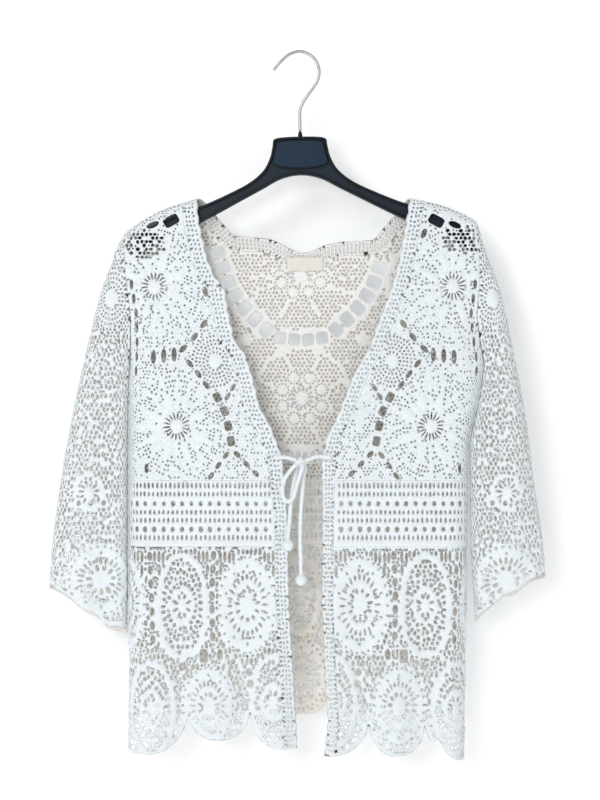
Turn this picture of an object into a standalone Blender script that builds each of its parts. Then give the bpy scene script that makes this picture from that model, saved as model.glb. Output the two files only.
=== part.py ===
"""White crochet cardigan on a moulded hanger.

X runs to the viewer's right (the wearer's left), Y away from the viewer, Z up. The origin is the inner top of
the hook. Sizes below are in millimetres. Every panel is drawn flat, as it is seen from the front, with its
gaps cut out, and then draped: it turns over the hanger's arm, round the side folds and into the hem's waves.
"""

import math

import bmesh
import bpy
import numpy as np
from mathutils import Euler, Vector
from mathutils.geometry import delaunay_2d_cdt

MM = 0.001

WALL = 2.2              # thickness of the crochet
HALF_SEAM = 0.15        # each panel stops this far short of its seam
AXIS = 7.0              # the garment hangs this far right of the hook

SHOULDER_TURN = 12.0    # radius of the turn over the hanger's arm
SLEEVE_TURN = 20.0      # radius of the sleeve's outer fold, low down
SIDE_TURN = 22.0        # radius of the folds at the side seam and under the arm
UNFOLD = math.pi / 2 - 1  # a quarter turn takes this share of its radius more cloth than it shows

ARMPIT = -472.0
GROOVE_TOP = -250.0     # the seam starts to sink in between body and sleeve here
WAIST_TOP = -521.0
WAIST_END = -601.0
SLEEVE_GAP = 1.2        # between the sleeve and the side of the body, at the armpit

# The shoulder line and the sleeve's outer fold, from the neck down: (x, z)
OUTLINE = {
    -1: [(-60, -163), (-122, -177), (-146, -184), (-168, -192), (-193, -206), (-212, -221), (-222, -240),
         (-229, -259), (-242, -295), (-260, -368), (-276, -442), (-289, -515), (-299, -588), (-304, -650),
         (-307, -730)],
    1: [(60, -163), (138, -177), (171, -184), (188, -190), (206, -198), (219, -208), (225, -228),
        (236, -259), (249, -295), (264, -368), (278, -442), (287, -515), (298, -588), (303, -650),
        (305, -730)],
}
# The armhole seam and, below the armpit, the side of the body: (z, x)
SEAM = {
    -1: [(-150, -209), (-246, -211), (-283, -208), (-320, -203), (-356, -203), (-400, -205), (-472, -206),
         (-700, -206), (-900, -208)],
    1: [(-150, 213), (-246, 220), (-283, 221), (-320, 217), (-345, 220), (-380, 226), (-425, 219),
        (-472, 208), (-600, 206), (-700, 205), (-900, 202)],
}
# How far the sleeve swings out from the side of the body below the armpit: (z, gap)
SWING = {-1: [(-472, 0), (-720, 0.6)], 1: [(-472, 0), (-600, 3), (-690, 9), (-730, 10)]}

# The free edge of each front, from the shoulder to the hem: (z, x)
FRONT_EDGE = {
    -1: [(-150, -124), (-205, -120), (-250, -110), (-272, -101), (-290, -88), (-320, -83), (-351, -76),
         (-368, -63), (-400, -53), (-430, -46), (-455, -32), (-492, -18), (-560, -12), (-667, -10),
         (-760, -4), (-860, 2)],
    1: [(-150, 140), (-205, 131), (-250, 123), (-280, 115), (-300, 108), (-334, 95), (-360, 86),
        (-392, 67), (-420, 56), (-445, 46), (-467, 34), (-495, 28), (-560, 29), (-667, 28),
        (-760, 32), (-808, 35), (-860, 30)],
}
# Width of the edging band across the front: (z, width)
BAND = {
    -1: [(-150, 20), (-480, 20), (-560, 17), (-860, 17)],
    1: [(-150, 20), (-480, 19), (-560, 15), (-860, 15)],
}

# The top of the back neckband, left to right: (x, z)
BACK_NECK = [(-113, -182), (-101, -197), (-86, -214), (-77, -222), (-51, -224), (-31, -227), (-13, -236),
             (4, -243.5), (21, -239), (34, -233), (55, -229), (91, -227), (101, -217), (112, -204),
             (124, -191), (131, -180)]
NECKBAND = 18.0

# Half the garment's depth: (z, depth)
BODY_DEPTH = [(-150, 12), (-178, 12), (-260, 15), (-350, 20), (-450, 24), (-560, 25), (-700, 29),
              (-870, 33)]
SLEEVE_DEPTH = [(-150, 12), (-178, 12), (-260, 15), (-350, 20), (-450, 24), (-560, 22), (-730, 22)]

# The scallops of the hem: (edge, edge, notch z, bottom z). A last lobe runs on round the side fold.
HEM = {
    -1: [(-260, -133, -801, -851), (-133, -58, -801, -833), (-58, 30, -803, -844)],
    1: [(-10, 86, -808, -852), (86, 154, -814, -852), (154, 170, -822, -836), (170, 262, -826, -860)],
}
BACK_HEM = [(-242 + 69 * i, -173 + 69 * i, -792, -812) for i in range(7)]
# The sleeve's hem from its outer fold in: (x, z) for the front half, and how much lower the back half hangs
CUFF = {
    -1: [(-330, -640), (-302, -647), (-280, -660), (-264, -673), (-247, -681), (-232, -697), (-207, -699),
         (-180, -699)],
    1: [(330, -626), (301, -633), (284, -640), (268, -652), (250, -658), (234, -673), (215, -685),
        (190, -690)],
}
BACK_CUFF_DROP = 9.0

# The hem's waves: amplitude at the hem, wavelength, and where a wave stands out
WAVE_DEPTH = 7.0
WAVES = {"left": (72.0, 117.0), "right": (72.0, -96.0), "back": (69.0, 3.0)}
SLEEVE_WAVE = 3.5
SLEEVE_WAVELENGTH = 56.0
SLEEVE_CREASE = 232.0

# Gaps in the fronts, measured from the garment's axis: (x, z) along each ladder, gaps, width, height, turned.
# A turned ladder has its gaps' height along the ladder, otherwise the height stands up.
YOKE_GAPS = [
    ([(146, -221), (129, -258), (119.5, -291), (108, -328)], 7, 6.5, 12.5, True),
    ([(121, -331), (134, -349), (146, -361)], 3, 6, 12, True),
    ([(157, -368), (182, -371)], 3, 6, 17, False),
    ([(138, -379), (128, -391), (118, -405)], 3, 5.5, 11.5, True),
    ([(104.5, -420), (95.5, -437), (91, -456), (88, -473)], 4, 9, 12, True),
    ([(94, -490), (103, -502), (112, -515)], 3, 5, 10, True),
    ([(80.5, -489), (69, -501), (58, -512)], 3, 5.5, 10, True),
    ([(92, -419), (85, -407), (79, -397)], 3, 5, 10.5, True),
    ([(190, -506)], 1, 5, 11, False),
    ([(155, -206.5)], 1, 17, 17, False),
    ([(175, -208)], 1, 11, 8, False),
]
# Gaps that follow the armhole: (z of the first, z of the last, gaps, width, height)
ARMHOLE_GAPS = (-283, -388, 7, 4.5, 12.0)
# Gaps between the ovals of the peplum, in the same form as the yoke's
PEPLUM_GAPS = [
    ([(186, -612), (184, -655), (182, -712)], 7, 6, 10.5, True),
    ([(109, -611), (111, -655), (110, -708)], 7, 6.5, 11, True),
    ([(121, -732)], 1, 10, 16, False),
    ([(101, -730)], 1, 7, 13, False),
    ([(66, -611), (55, -613)], 2, 5, 8, False),
    ([(146, -745), (141, -759)], 2, 9, 9, True),
    ([(66, -752), (65, -766)], 2, 8, 9, True),
    ([(150, -800), (149, -813)], 2, 6, 7, True),
]
# The wide gaps round the motif in the middle of the back: (x, z) as seen, gaps, width, height, turned
BACK_GAPS = [
    ([(-88, -258), (-85, -277), (-76, -300), (-58, -322), (-42, -335)], 8, 13, 9.5, True),
    ([(96, -258), (93, -277), (85, -300), (66, -322), (50, -335)], 8, 13, 9.5, True),
    ([(-28, -340), (4, -343), (36, -340)], 4, 9, 12, True),
    ([(-108, -236), (-98, -248)], 1, 11, 14, True),
    ([(112, -236), (104, -248)], 1, 11, 14, True),
    ([(-90, -370), (-86, -410)], 3, 7, 12, True),
    ([(98, -370), (94, -410)], 3, 7, 12, True),
]
BACK_PEPLUM_GAPS = [([(-171 + 58 * i, -612), (-171 + 58 * i, -660)], 3, 6, 11, True) for i in range(7)]

# The two rows of round gaps in the waistband
ROUND_ROWS = (-548.6, -579.5)
ROUND_PITCH = 11.2
ROUND_GAP = (4.8, 6.2)
# Gaps round the sleeve's flower, from the middle of the sleeve: (z, gaps, width, height, spread)
SLEEVE_GAPS = [(-548, 3, 5, 6.5, 15), (-600, 4, 5, 7, 13)]

MESH = 33.0             # spacing of the points inside a panel
MESH_EDGE = 20.0        # spacing of the points along its outline
LEVEL_EDGE = 24.0       # spacing of the points along its level edges
SHOULDER_LEVELS = 0.4   # share of that spacing above the groove, where the cloth turns over the arm
CLEAR_OF_GAP = 7.0      # no inner point comes nearer to an edge than this
BEND_STEP = 25.0        # spacing of the points along a fold
BEND_CLEAR = 5.0        # and their least distance from an edge
RIB_LEAST = 2.2         # crochet left between two gaps, at least

# The tie, as (x, y, z)
TIE_RADIUS = 2.65
KNOT = (3.7, -30.2, -497.5)
KNOT_SIZE = (6.5, 6.5, 6.0)
KNOT_GAP = 0.5
LOOP_GAP = 0.9          # the loop leaves the knot at a slant
BOBBLE = (7.0, 6.6, 7.4)
BOBBLES = {"left": (3.7, -29.4, -640.5), "right": (-12.2, -34.0, -598.0)}

# The hanger, drawn straight and then leant: (half width, z)
LEAN = math.radians(-1.2)
ARM_TOP = [(0, -102.5), (20, -103), (31.5, -105.5), (33.5, -114), (37, -128), (46, -144), (65, -159),
           (95, -173.5), (119, -183.5), (133, -188), (150, -193.5), (168, -201), (187, -210), (201, -221),
           (207, -232)]
ARM_FOOT = [(206, -246), (196, -239), (175, -227), (150, -216), (117, -201.5), (95, -190.5), (71, -178),
            (46, -165), (24, -153.5), (0, -149)]
ARM_THICK = 12.0
WEB_THICK = 4.0
RIM = 3.2
PLATE = [(0, -106.3), (17, -106.8), (27.5, -108.8), (29.5, -115), (32.5, -126.5), (32.5, -136), (18, -140.5),
         (0, -141.5)]
PLATE_STANDS = 0.6      # how far the plate's face stands out from the rim's
HOOK_RADIUS = 1.9
HOOK = [(-30.5, -20.5), (-25.5, -14.5), (-20, -9), (-11, -1.6), (0.6, 1.9), (10.5, -0.3), (18.5, -6),
        (23.8, -14.5), (25.4, -24), (23.2, -34), (18.2, -42), (11.8, -50.5), (6.2, -58.5), (2.2, -66),
        (0.8, -73), (0.6, -84), (0.6, -96.1)]
FERRULE = [(0, -96.4), (2.1, -96.4), (2.7, -102.2), (0, -102.2)]

# The blank label sewn inside the back: (left, right, bottom, top), and its thickness
LABEL = (-13.4, 30.5, -265.0, -248.0)
LABEL_THICK = 0.7


def clear_scene():
    for thing in list(bpy.data.objects):
        bpy.data.objects.remove(thing)


def material(name, colour, roughness, metallic=0.0):
    made = bpy.data.materials.new(name)
    made.use_nodes = True
    shader = made.node_tree.nodes["Principled BSDF"]
    shader.inputs["Base Color"].default_value = (*colour, 1.0)
    shader.inputs["Roughness"].default_value = roughness
    shader.inputs["Metallic"].default_value = metallic
    return made


def lookup(rows, z):
    """The second column of a (z, value) table, between its rows, which run downwards."""
    table = np.array(rows, float)
    return np.interp(-np.asarray(z, float), -table[:, 0], table[:, 1])


def smooth_step(low, high, value):
    share = np.clip((np.asarray(value, float) - low) / (high - low), 0, 1)
    return share * share * (3 - 2 * share)


def smooth_curve(rows, steps=5):
    """A Catmull-Rom curve through the rows, with this many points to each span."""
    knots = np.array([rows[0], *rows, rows[-1]], float)
    points = []
    for before, start, end, after in zip(knots, knots[1:], knots[2:], knots[3:]):
        for step in range(steps):
            t = step / steps
            linear = 2 * start + (end - before) * t
            square = (2 * before - 5 * start + 4 * end - after) * t * t
            cubic = (3 * start - before - 3 * end + after) * t ** 3
            points.append(0.5 * (linear + square + cubic))
    points.append(knots[-1])
    return np.array(points)


def outline_curve(side):
    return smooth_curve(OUTLINE[side])


def from_outline(points, side):
    """How far inside the shoulder line and outer fold each point lies, and the direction straight in."""
    line = outline_curve(side)
    start, along = line[:-1], np.diff(line, axis=0)
    length = np.linalg.norm(along, axis=1)
    inward = np.stack([along[:, 1], -along[:, 0]], 1) * side / length[:, None]
    reach = points[:, None, :] - start[None]
    share = np.clip((reach * along[None]).sum(2) / length ** 2, 0, 1)
    away = reach - share[:, :, None] * along[None]
    distance = np.linalg.norm(away, axis=2)
    nearest = distance.argmin(1)
    pick = np.arange(len(points))
    offset = away[pick, nearest]
    depth = (offset * inward[nearest]).sum(1)
    sign = np.where(depth < 0, -1.0, 1.0)
    gap = distance[pick, nearest]
    straight = offset * sign[:, None] / np.maximum(gap, 1e-6)[:, None]
    direct = np.where(gap[:, None] > 1e-6, straight, inward[nearest])
    return gap * sign, direct


def turn_radius(z):
    return SHOULDER_TURN + (SLEEVE_TURN - SHOULDER_TURN) * smooth_step(220, 420, -np.asarray(z, float))


def groove(z):
    """How far the armhole seam has sunk in: 0 on the shoulder, 1 from the armpit down."""
    return smooth_step(-GROOVE_TOP, -ARMPIT, -np.asarray(z, float))


def turned(depth, radius, share):
    """Where cloth that lies depth inside a fold's line in the flat comes to, and how far it stands out."""
    run = depth + UNFOLD * radius * share
    angle = np.clip(run / radius, 0, math.pi / 2)
    folded = np.where(run < radius * math.pi / 2, radius * (1 - np.cos(angle)), run - UNFOLD * radius)
    return share * folded + (1 - share) * run, share * np.sin(angle) + 1 - share


def seam_x(side, z):
    return lookup(SEAM[side], z)


def sleeve_seam_x(side, z):
    """The inner edge of the sleeve: the armhole seam, then the fold under the arm."""
    parted = SLEEVE_GAP * np.sqrt(groove(z))
    return seam_x(side, z) + side * (lookup(SWING[side], z) + parted)


def wave(name, x, z):
    length, crest = WAVES[name]
    return WAVE_DEPTH * smooth_step(600, 850, -z) * np.cos(2 * math.pi * (x - crest) / length)


def drape(points, face, sleeve=0):
    """Flat points (x, z) laid on the garment. face is -1 in front and 1 behind; sleeve is 0, or its side."""
    points = np.atleast_2d(np.asarray(points, float))
    place = points.copy()
    z = points[:, 1]
    share = groove(z)
    out = np.ones(len(points))
    for side in (-1, 1):
        mine = np.full(len(points), sleeve == side) if sleeve else (points[:, 0] >= 0) == (side > 0)
        if not mine.any():
            continue
        depth, inward = from_outline(points[mine], side)
        moved, lift = turned(depth, turn_radius(z[mine]), 1.0)
        place[mine] += inward * (moved - depth)[:, None]
        if sleeve:
            depth = side * (points[mine, 0] - sleeve_seam_x(side, z[mine]))
        else:
            depth = side * (seam_x(side, z[mine]) - points[mine, 0])
        moved, lift_seam = turned(depth, SIDE_TURN, share[mine])
        place[mine, 0] += (moved - depth) * (side if sleeve else -side)
        out[mine] = lift * lift_seam
    if sleeve:
        middle = SLEEVE_CREASE if face < 0 else SLEEVE_CREASE + SLEEVE_WAVELENGTH / 2
        ripple = -SLEEVE_WAVE * smooth_step(300, 430, -z) * np.cos(
            2 * math.pi * (np.abs(points[:, 0]) - middle) / SLEEVE_WAVELENGTH)
        half = lookup(SLEEVE_DEPTH, z)
    else:
        names = np.where(points[:, 0] > 0, "left", "right") if face < 0 else np.full(len(points), "back")
        ripple = np.zeros(len(points))
        for name in WAVES:
            ripple += np.where(names == name, wave(name, points[:, 0], z), 0)
        half = lookup(BODY_DEPTH, z)
    y = face * (HALF_SEAM + (half - HALF_SEAM + ripple) * out)
    return np.stack([place[:, 0], y, place[:, 1]], 1)


def inner_face(flat, face, sleeve):
    """The wall's inner points, square to the cloth, so that two panels' walls stay parallel at their seam."""
    step = 0.5
    across = drape(flat + (step, 0), face, sleeve) - drape(flat - (step, 0), face, sleeve)
    up = drape(flat + (0, step), face, sleeve) - drape(flat - (0, step), face, sleeve)
    normal = -face * np.cross(across, up)
    normal /= np.linalg.norm(normal, axis=1)[:, None]
    inner = drape(flat, face, sleeve) - normal * WALL
    inner[:, 1] = face * np.maximum(face * inner[:, 1], HALF_SEAM)
    return inner


def flat_shoulder(side):
    """The shoulder line and outer fold as cut, which is wider than they look by the cloth in the turn."""
    line = outline_curve(side)
    along = np.gradient(line, axis=0)
    inward = np.stack([along[:, 1], -along[:, 0]], 1)
    inward /= np.linalg.norm(inward, axis=1)[:, None]
    if inward[0, 1] > 0:
        inward = -inward
    return line - inward * (UNFOLD * turn_radius(line[:, 1]))[:, None]


def down(x_of, top, bottom, step=MESH_EDGE):
    """Points on a line x = x_of(z), at the same levels on both sides of a seam."""
    low, high = min(top, bottom), max(top, bottom)
    above = np.arange(-150, GROOVE_TOP, -step * SHOULDER_LEVELS)
    levels = np.concatenate([above, np.arange(GROOVE_TOP, low, -step)])
    clear = step * SHOULDER_LEVELS / 2
    levels = levels[(levels < high - clear) & (levels > low + clear)]
    z = np.array([high, *levels, low])
    if bottom > top:
        z = z[::-1]
    return np.stack([x_of(z), z], 1)


def across(start, end, z, folds):
    """The points between the ends of a level edge, set half way round each fold's turn and at its end."""
    low, high = min(start, end), max(start, end)
    turn = SIDE_TURN * math.pi / 2
    first, last = low + turn * (-1 in folds), high - turn * (1 in folds)
    x = list(np.linspace(first, last, round((last - first) / LEVEL_EDGE) + 1))
    x = [low + turn / 2, *x] if -1 in folds else x[1:]
    x = [*x, high - turn / 2] if 1 in folds else x[:-1]
    return np.stack([x if end > start else x[::-1], np.full(len(x), z)], 1)


def thinned(points, least):
    """A line's points without those that crowd, its ends kept."""
    kept = [points[0]]
    for point in points[1:-1]:
        if np.linalg.norm(point - kept[-1]) >= least and np.linalg.norm(point - points[-1]) >= least:
            kept.append(point)
    return np.array([*kept, points[-1]])


def side_fold(side, sleeve=False):
    """The flat edge of a panel at the seam or fold between body and sleeve, as a function of z."""
    base = sleeve_seam_x if sleeve else seam_x
    spread = -side if sleeve else side
    return lambda z: base(side, z) + spread * (UNFOLD * SIDE_TURN * groove(z) - HALF_SEAM * (1 - groove(z)))


def band_inner(side):
    return lambda z: lookup(FRONT_EDGE[side], z)


def band_outer(side, inset=0.0):
    return lambda z: lookup(FRONT_EDGE[side], z) + side * (lookup(BAND[side], z) + inset)


def hem_line(rows, x):
    """The scalloped hem: each lobe a broad arch between its notches."""
    x = np.asarray(x, float)
    z = np.full(x.shape, rows[0][2], float)
    for start, end, notch, bottom in rows:
        t = np.clip((2 * x - start - end) / (end - start), -1, 1)
        lobe = notch + (bottom - notch) * np.sqrt(1 - np.abs(t) ** 2.6)
        z = np.where((x >= start) & (x <= end), np.minimum(z, lobe), z)
    return z


def hem_points(rows, start, end, step=8.5):
    x = np.linspace(start, end, max(2, round(abs(end - start) / step) + 1))
    return np.stack([x, hem_line(rows, x)], 1)


def where_meets(curve, x_of):
    """The point at which a curve crosses the line x = x_of(z)."""
    beyond = curve[:, 0] - x_of(curve[:, 1])
    at = int(np.argmax(np.sign(beyond[1:]) != np.sign(beyond[:-1])))
    share = beyond[at] / (beyond[at] - beyond[at + 1])
    return curve[at] + share * (curve[at + 1] - curve[at])


def shoulder_run(side, first, last):
    """The flat shoulder line from where it meets one line to where it meets another."""
    curve = flat_shoulder(side)
    start, end = where_meets(curve, first), where_meets(curve, last)
    inner = curve[(np.abs(curve[:, 0]) > abs(start[0]) + 2) & (np.abs(curve[:, 0]) < abs(end[0]) - 2)]
    return thinned(np.array([start, *inner, end]), 9.0)


def offset_line(points, distance):
    """The line moved to its right, seen along it, by a distance."""
    along = np.gradient(points, axis=0)
    normal = np.stack([along[:, 1], -along[:, 0]], 1)
    return points + normal / np.linalg.norm(normal, axis=1)[:, None] * distance


def neck_lines():
    """The neckband's top line and its lower line, left to right."""
    top = smooth_curve(BACK_NECK, 2)
    return top, offset_line(top, NECKBAND)


def oval(x, z, width, height, turn, corners):
    """A gap: an oval of few corners."""
    angles = [2 * math.pi * (i + 0.5) / corners for i in range(corners)]
    stretch = 1 / math.cos(math.pi / corners) if corners == 4 else 1.0
    points = np.array([(width / 2 * math.cos(a), height / 2 * math.sin(a)) for a in angles]) * stretch * 0.92
    if corners == 4:
        points *= 0.92
    c, s = math.cos(turn), math.sin(turn)
    return points @ np.array([[c, s], [-s, c]]) + (x, z)


def ladder(path, count, width, height, turned_along, flip=1, shift=0.0, corners=4):
    """Gaps spaced evenly along a path."""
    path = np.array(path, float)
    path[:, 0] = path[:, 0] * flip + shift
    if len(path) == 1:
        return [oval(*path[0], width, height, 0, 6)]
    lengths = np.concatenate([[0], np.linalg.norm(np.diff(path, axis=0), axis=1).cumsum()])
    gaps = []
    for at in np.linspace(0, lengths[-1], count) if count > 1 else [lengths[-1] / 2]:
        x, z = (np.interp(at, lengths, path[:, k]) for k in (0, 1))
        columns = (path[:, 0], path[:, 1])
        ahead = [np.interp(at + 1, lengths, c) - np.interp(at - 1, lengths, c) for c in columns]
        turn = math.atan2(ahead[1], ahead[0]) + math.pi / 2 if turned_along else 0
        gaps.append(oval(x, z, width, height, turn, corners))
    return gaps


def inside(points, polygon):
    x, z = points[:, 0], points[:, 1]
    within = np.zeros(len(points), bool)
    for (ax, az), (bx, bz) in zip(polygon, np.roll(polygon, -1, axis=0)):
        crosses = (az > z) != (bz > z)
        within ^= crosses & (x < (bx - ax) * (z - az) / (bz - az + 1e-12) + ax)
    return within


def edge_distance(points, polygon):
    start, along = polygon, np.roll(polygon, -1, axis=0) - polygon
    reach = points[:, None] - start[None]
    share = np.clip((reach * along[None]).sum(2) / np.maximum((along ** 2).sum(1), 1e-9), 0, 1)
    return np.linalg.norm(reach - share[:, :, None] * along[None], axis=2).min(1)


def bend_rows(runs, outline):
    """Points in rows along the folds, half way round each quarter turn and at its end."""
    rows = []
    for run, radius in runs:
        if len(run) < 3:
            continue
        for share in (0.25, 0.5):
            for distance in (share * math.pi * radius, -share * math.pi * radius):
                row = thinned(offset_line(run, distance), BEND_STEP)
                row = row[inside(row, outline)]
                if len(row):
                    rows.append(row[edge_distance(row, outline) > BEND_CLEAR])
    return np.concatenate(rows) if rows else np.zeros((0, 2))


def flat_mesh(outline, gaps, spacing, bends=()):
    """(points, triangles) of a panel, with the gaps that lie wholly on it and clear of each other."""
    kept = []
    for gap in gaps:
        if not inside(gap, outline).all() or edge_distance(gap, outline).min() < RIB_LEAST:
            continue
        middle = gap.mean(0)[None]
        if any(edge_distance(gap, other).min() < RIB_LEAST or inside(middle, other)[0] for other in kept):
            continue
        kept.append(gap)
    low, high = outline.min(0), outline.max(0)
    rows = np.arange(low[1], high[1], spacing * 0.87)
    grid = np.array([(x, z) for i, z in enumerate(rows)
                     for x in np.arange(low[0] + (i % 2) * spacing / 2, high[0], spacing)])
    grid = grid[inside(grid, outline)]
    grid = grid[edge_distance(grid, outline) > CLEAR_OF_GAP]
    rows = bend_rows(bends, outline)
    if len(rows):
        apart = np.linalg.norm(grid[:, None] - rows[None], axis=2).min(1)
        grid = np.concatenate([rows, grid[apart > 0.6 * spacing]])
    for gap in kept:
        grid = grid[edge_distance(grid, gap) > CLEAR_OF_GAP * 0.6]
        grid = grid[~inside(grid, gap)]
    points, edges, owner = [], [], []
    for number, ring in enumerate([outline, *kept]):
        base = len(points)
        points += [Vector(p) for p in ring]
        owner += [number] * len(ring)
        edges += [(base + i, base + (i + 1) % len(ring)) for i in range(len(ring))]
    points += [Vector(p) for p in grid]
    owner += [-1] * len(grid)
    flat, _, faces, origins, _, _ = delaunay_2d_cdt(points, edges, [], 1, 1e-5)
    owners = [owner[origin[0]] if origin else -1 for origin in origins]
    cloth = [face for face in faces if not (owners[face[0]] > 0 and len({owners[v] for v in face}) == 1)]
    return np.array([(p.x, p.y) for p in flat]), cloth


def add_object(name, mesh, finish, collection):
    thing = bpy.data.objects.new(name, mesh)
    collection.objects.link(thing)
    mesh.materials.append(finish)
    return thing


def panel(name, outline, gaps, face, finish, collection, sleeve=0, spacing=MESH, bends=()):
    """One piece of crochet: cut flat, draped, and given its thickness inwards."""
    if (outline[:, 0] * np.roll(outline[:, 1], -1) - np.roll(outline[:, 0], -1) * outline[:, 1]).sum() < 0:
        outline = outline[::-1]
    flat, faces = flat_mesh(outline, gaps, spacing, bends)
    points = drape(flat, face, sleeve) * MM
    if face > 0:
        faces = [tuple(reversed(f)) for f in faces]
    mesh = bpy.data.meshes.new(name)
    mesh.from_pydata([tuple(p) for p in points], [], [tuple(f) for f in faces])
    thing = bpy.data.objects.new(name, mesh)
    collection.objects.link(thing)
    wall = thing.modifiers.new("wall", "SOLIDIFY")
    wall.thickness = WALL * MM
    wall.offset = -1
    thick = bpy.data.meshes.new_from_object(thing.evaluated_get(bpy.context.evaluated_depsgraph_get()))
    thing.modifiers.clear()
    thing.data = thick
    for vertex, place in zip(thick.vertices[len(points):], inner_face(flat, face, sleeve)):
        vertex.co = Vector(place) * MM
    thick.shade_smooth()
    thick.materials.append(finish)
    bpy.data.meshes.remove(mesh)
    thick.name = name
    return thing


def loop_of(*runs):
    """One closed outline from its runs, with doubled points dropped."""
    points = np.concatenate(runs)
    step = np.linalg.norm(points - np.roll(points, 1, axis=0), axis=1)
    return points[step > 0.5]


def yoke_gaps(side):
    gaps = []
    for path, count, width, height, along in YOKE_GAPS:
        gaps += ladder(path, count, width, height, along, side, AXIS)
    first, last, count, width, height = ARMHOLE_GAPS
    for z in np.linspace(first, last, count):
        gaps.append(oval(seam_x(side, z) - side * 5.5, z, width, height, 0, 4))
    return gaps


def round_rows(start, end):
    middle = (start + end) / 2
    count = int((end - start) / ROUND_PITCH)
    return [oval(middle + (i - (count - 1) / 2) * ROUND_PITCH, z, *ROUND_GAP, 0, 6)
            for z in ROUND_ROWS for i in range(count)]


def front(side, finish, collection):
    name = {1: "left", -1: "right"}[side]
    edge = band_outer(side, 2 * HALF_SEAM)
    fold = side_fold(side)
    shoulder = shoulder_run(side, edge, fold)
    foot = across(fold(WAIST_TOP), edge(WAIST_TOP), WAIST_TOP, [side])
    outline = loop_of(down(edge, WAIST_TOP, shoulder[0, 1])[:-1], shoulder[:-1],
                      down(fold, shoulder[-1, 1], WAIST_TOP), foot)
    side_run = down(fold, ARMPIT + 60, WAIST_TOP)
    bends = [(shoulder, SHOULDER_TURN), (side_run, SIDE_TURN)]
    panel(f"front_yoke_{name}", outline, yoke_gaps(side), -1, finish, collection, bends=bends)

    top, bottom = WAIST_TOP - 2 * HALF_SEAM, WAIST_END
    outline = loop_of(down(edge, bottom, top), across(edge(top), fold(top), top, [side]),
                      down(fold, top, bottom), across(fold(bottom), edge(bottom), bottom, [side]))
    rounds = round_rows(*sorted((edge(-560), fold(-560) - side * 12)))
    bends = [(down(fold, top - 8, bottom + 8, 12), SIDE_TURN)]
    panel(f"front_waistband_{name}", outline, rounds, -1, finish, collection, bends=bends)

    top = WAIST_END - 2 * HALF_SEAM
    foot_in = hem_line(HEM[side], edge(-840))
    foot_out = hem_line(HEM[side], fold(-850))
    hem = hem_points(HEM[side], edge(-840), fold(-850))
    gaps = [gap for row in PEPLUM_GAPS for gap in ladder(*row, side, AXIS)]
    outline = loop_of(down(edge, top, foot_in)[:-1], hem, down(fold, foot_out, top)[1:],
                      across(fold(top), edge(top), top, [side]))
    bends = [(down(fold, top, foot_out), SIDE_TURN)]
    panel(f"front_peplum_{name}", outline, gaps, -1, finish, collection, bends=bends)


def front_edging(side, finish, collection):
    name = {1: "left", -1: "right"}[side]
    inner, outer = band_inner(side), band_outer(side)
    shoulder = shoulder_run(side, inner, outer)
    hem = hem_points(HEM[side], inner(-845), outer(-840), 5.0)
    outline = loop_of(down(inner, hem[0, 1], shoulder[0, 1], 11)[:-1], shoulder,
                      down(outer, shoulder[-1, 1], hem[-1, 1], 20)[1:-1], hem[::-1])
    bends = [(shoulder, SHOULDER_TURN)]
    panel(f"front_edging_{name}", outline, [], -1, finish, collection, spacing=60, bends=bends)


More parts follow.
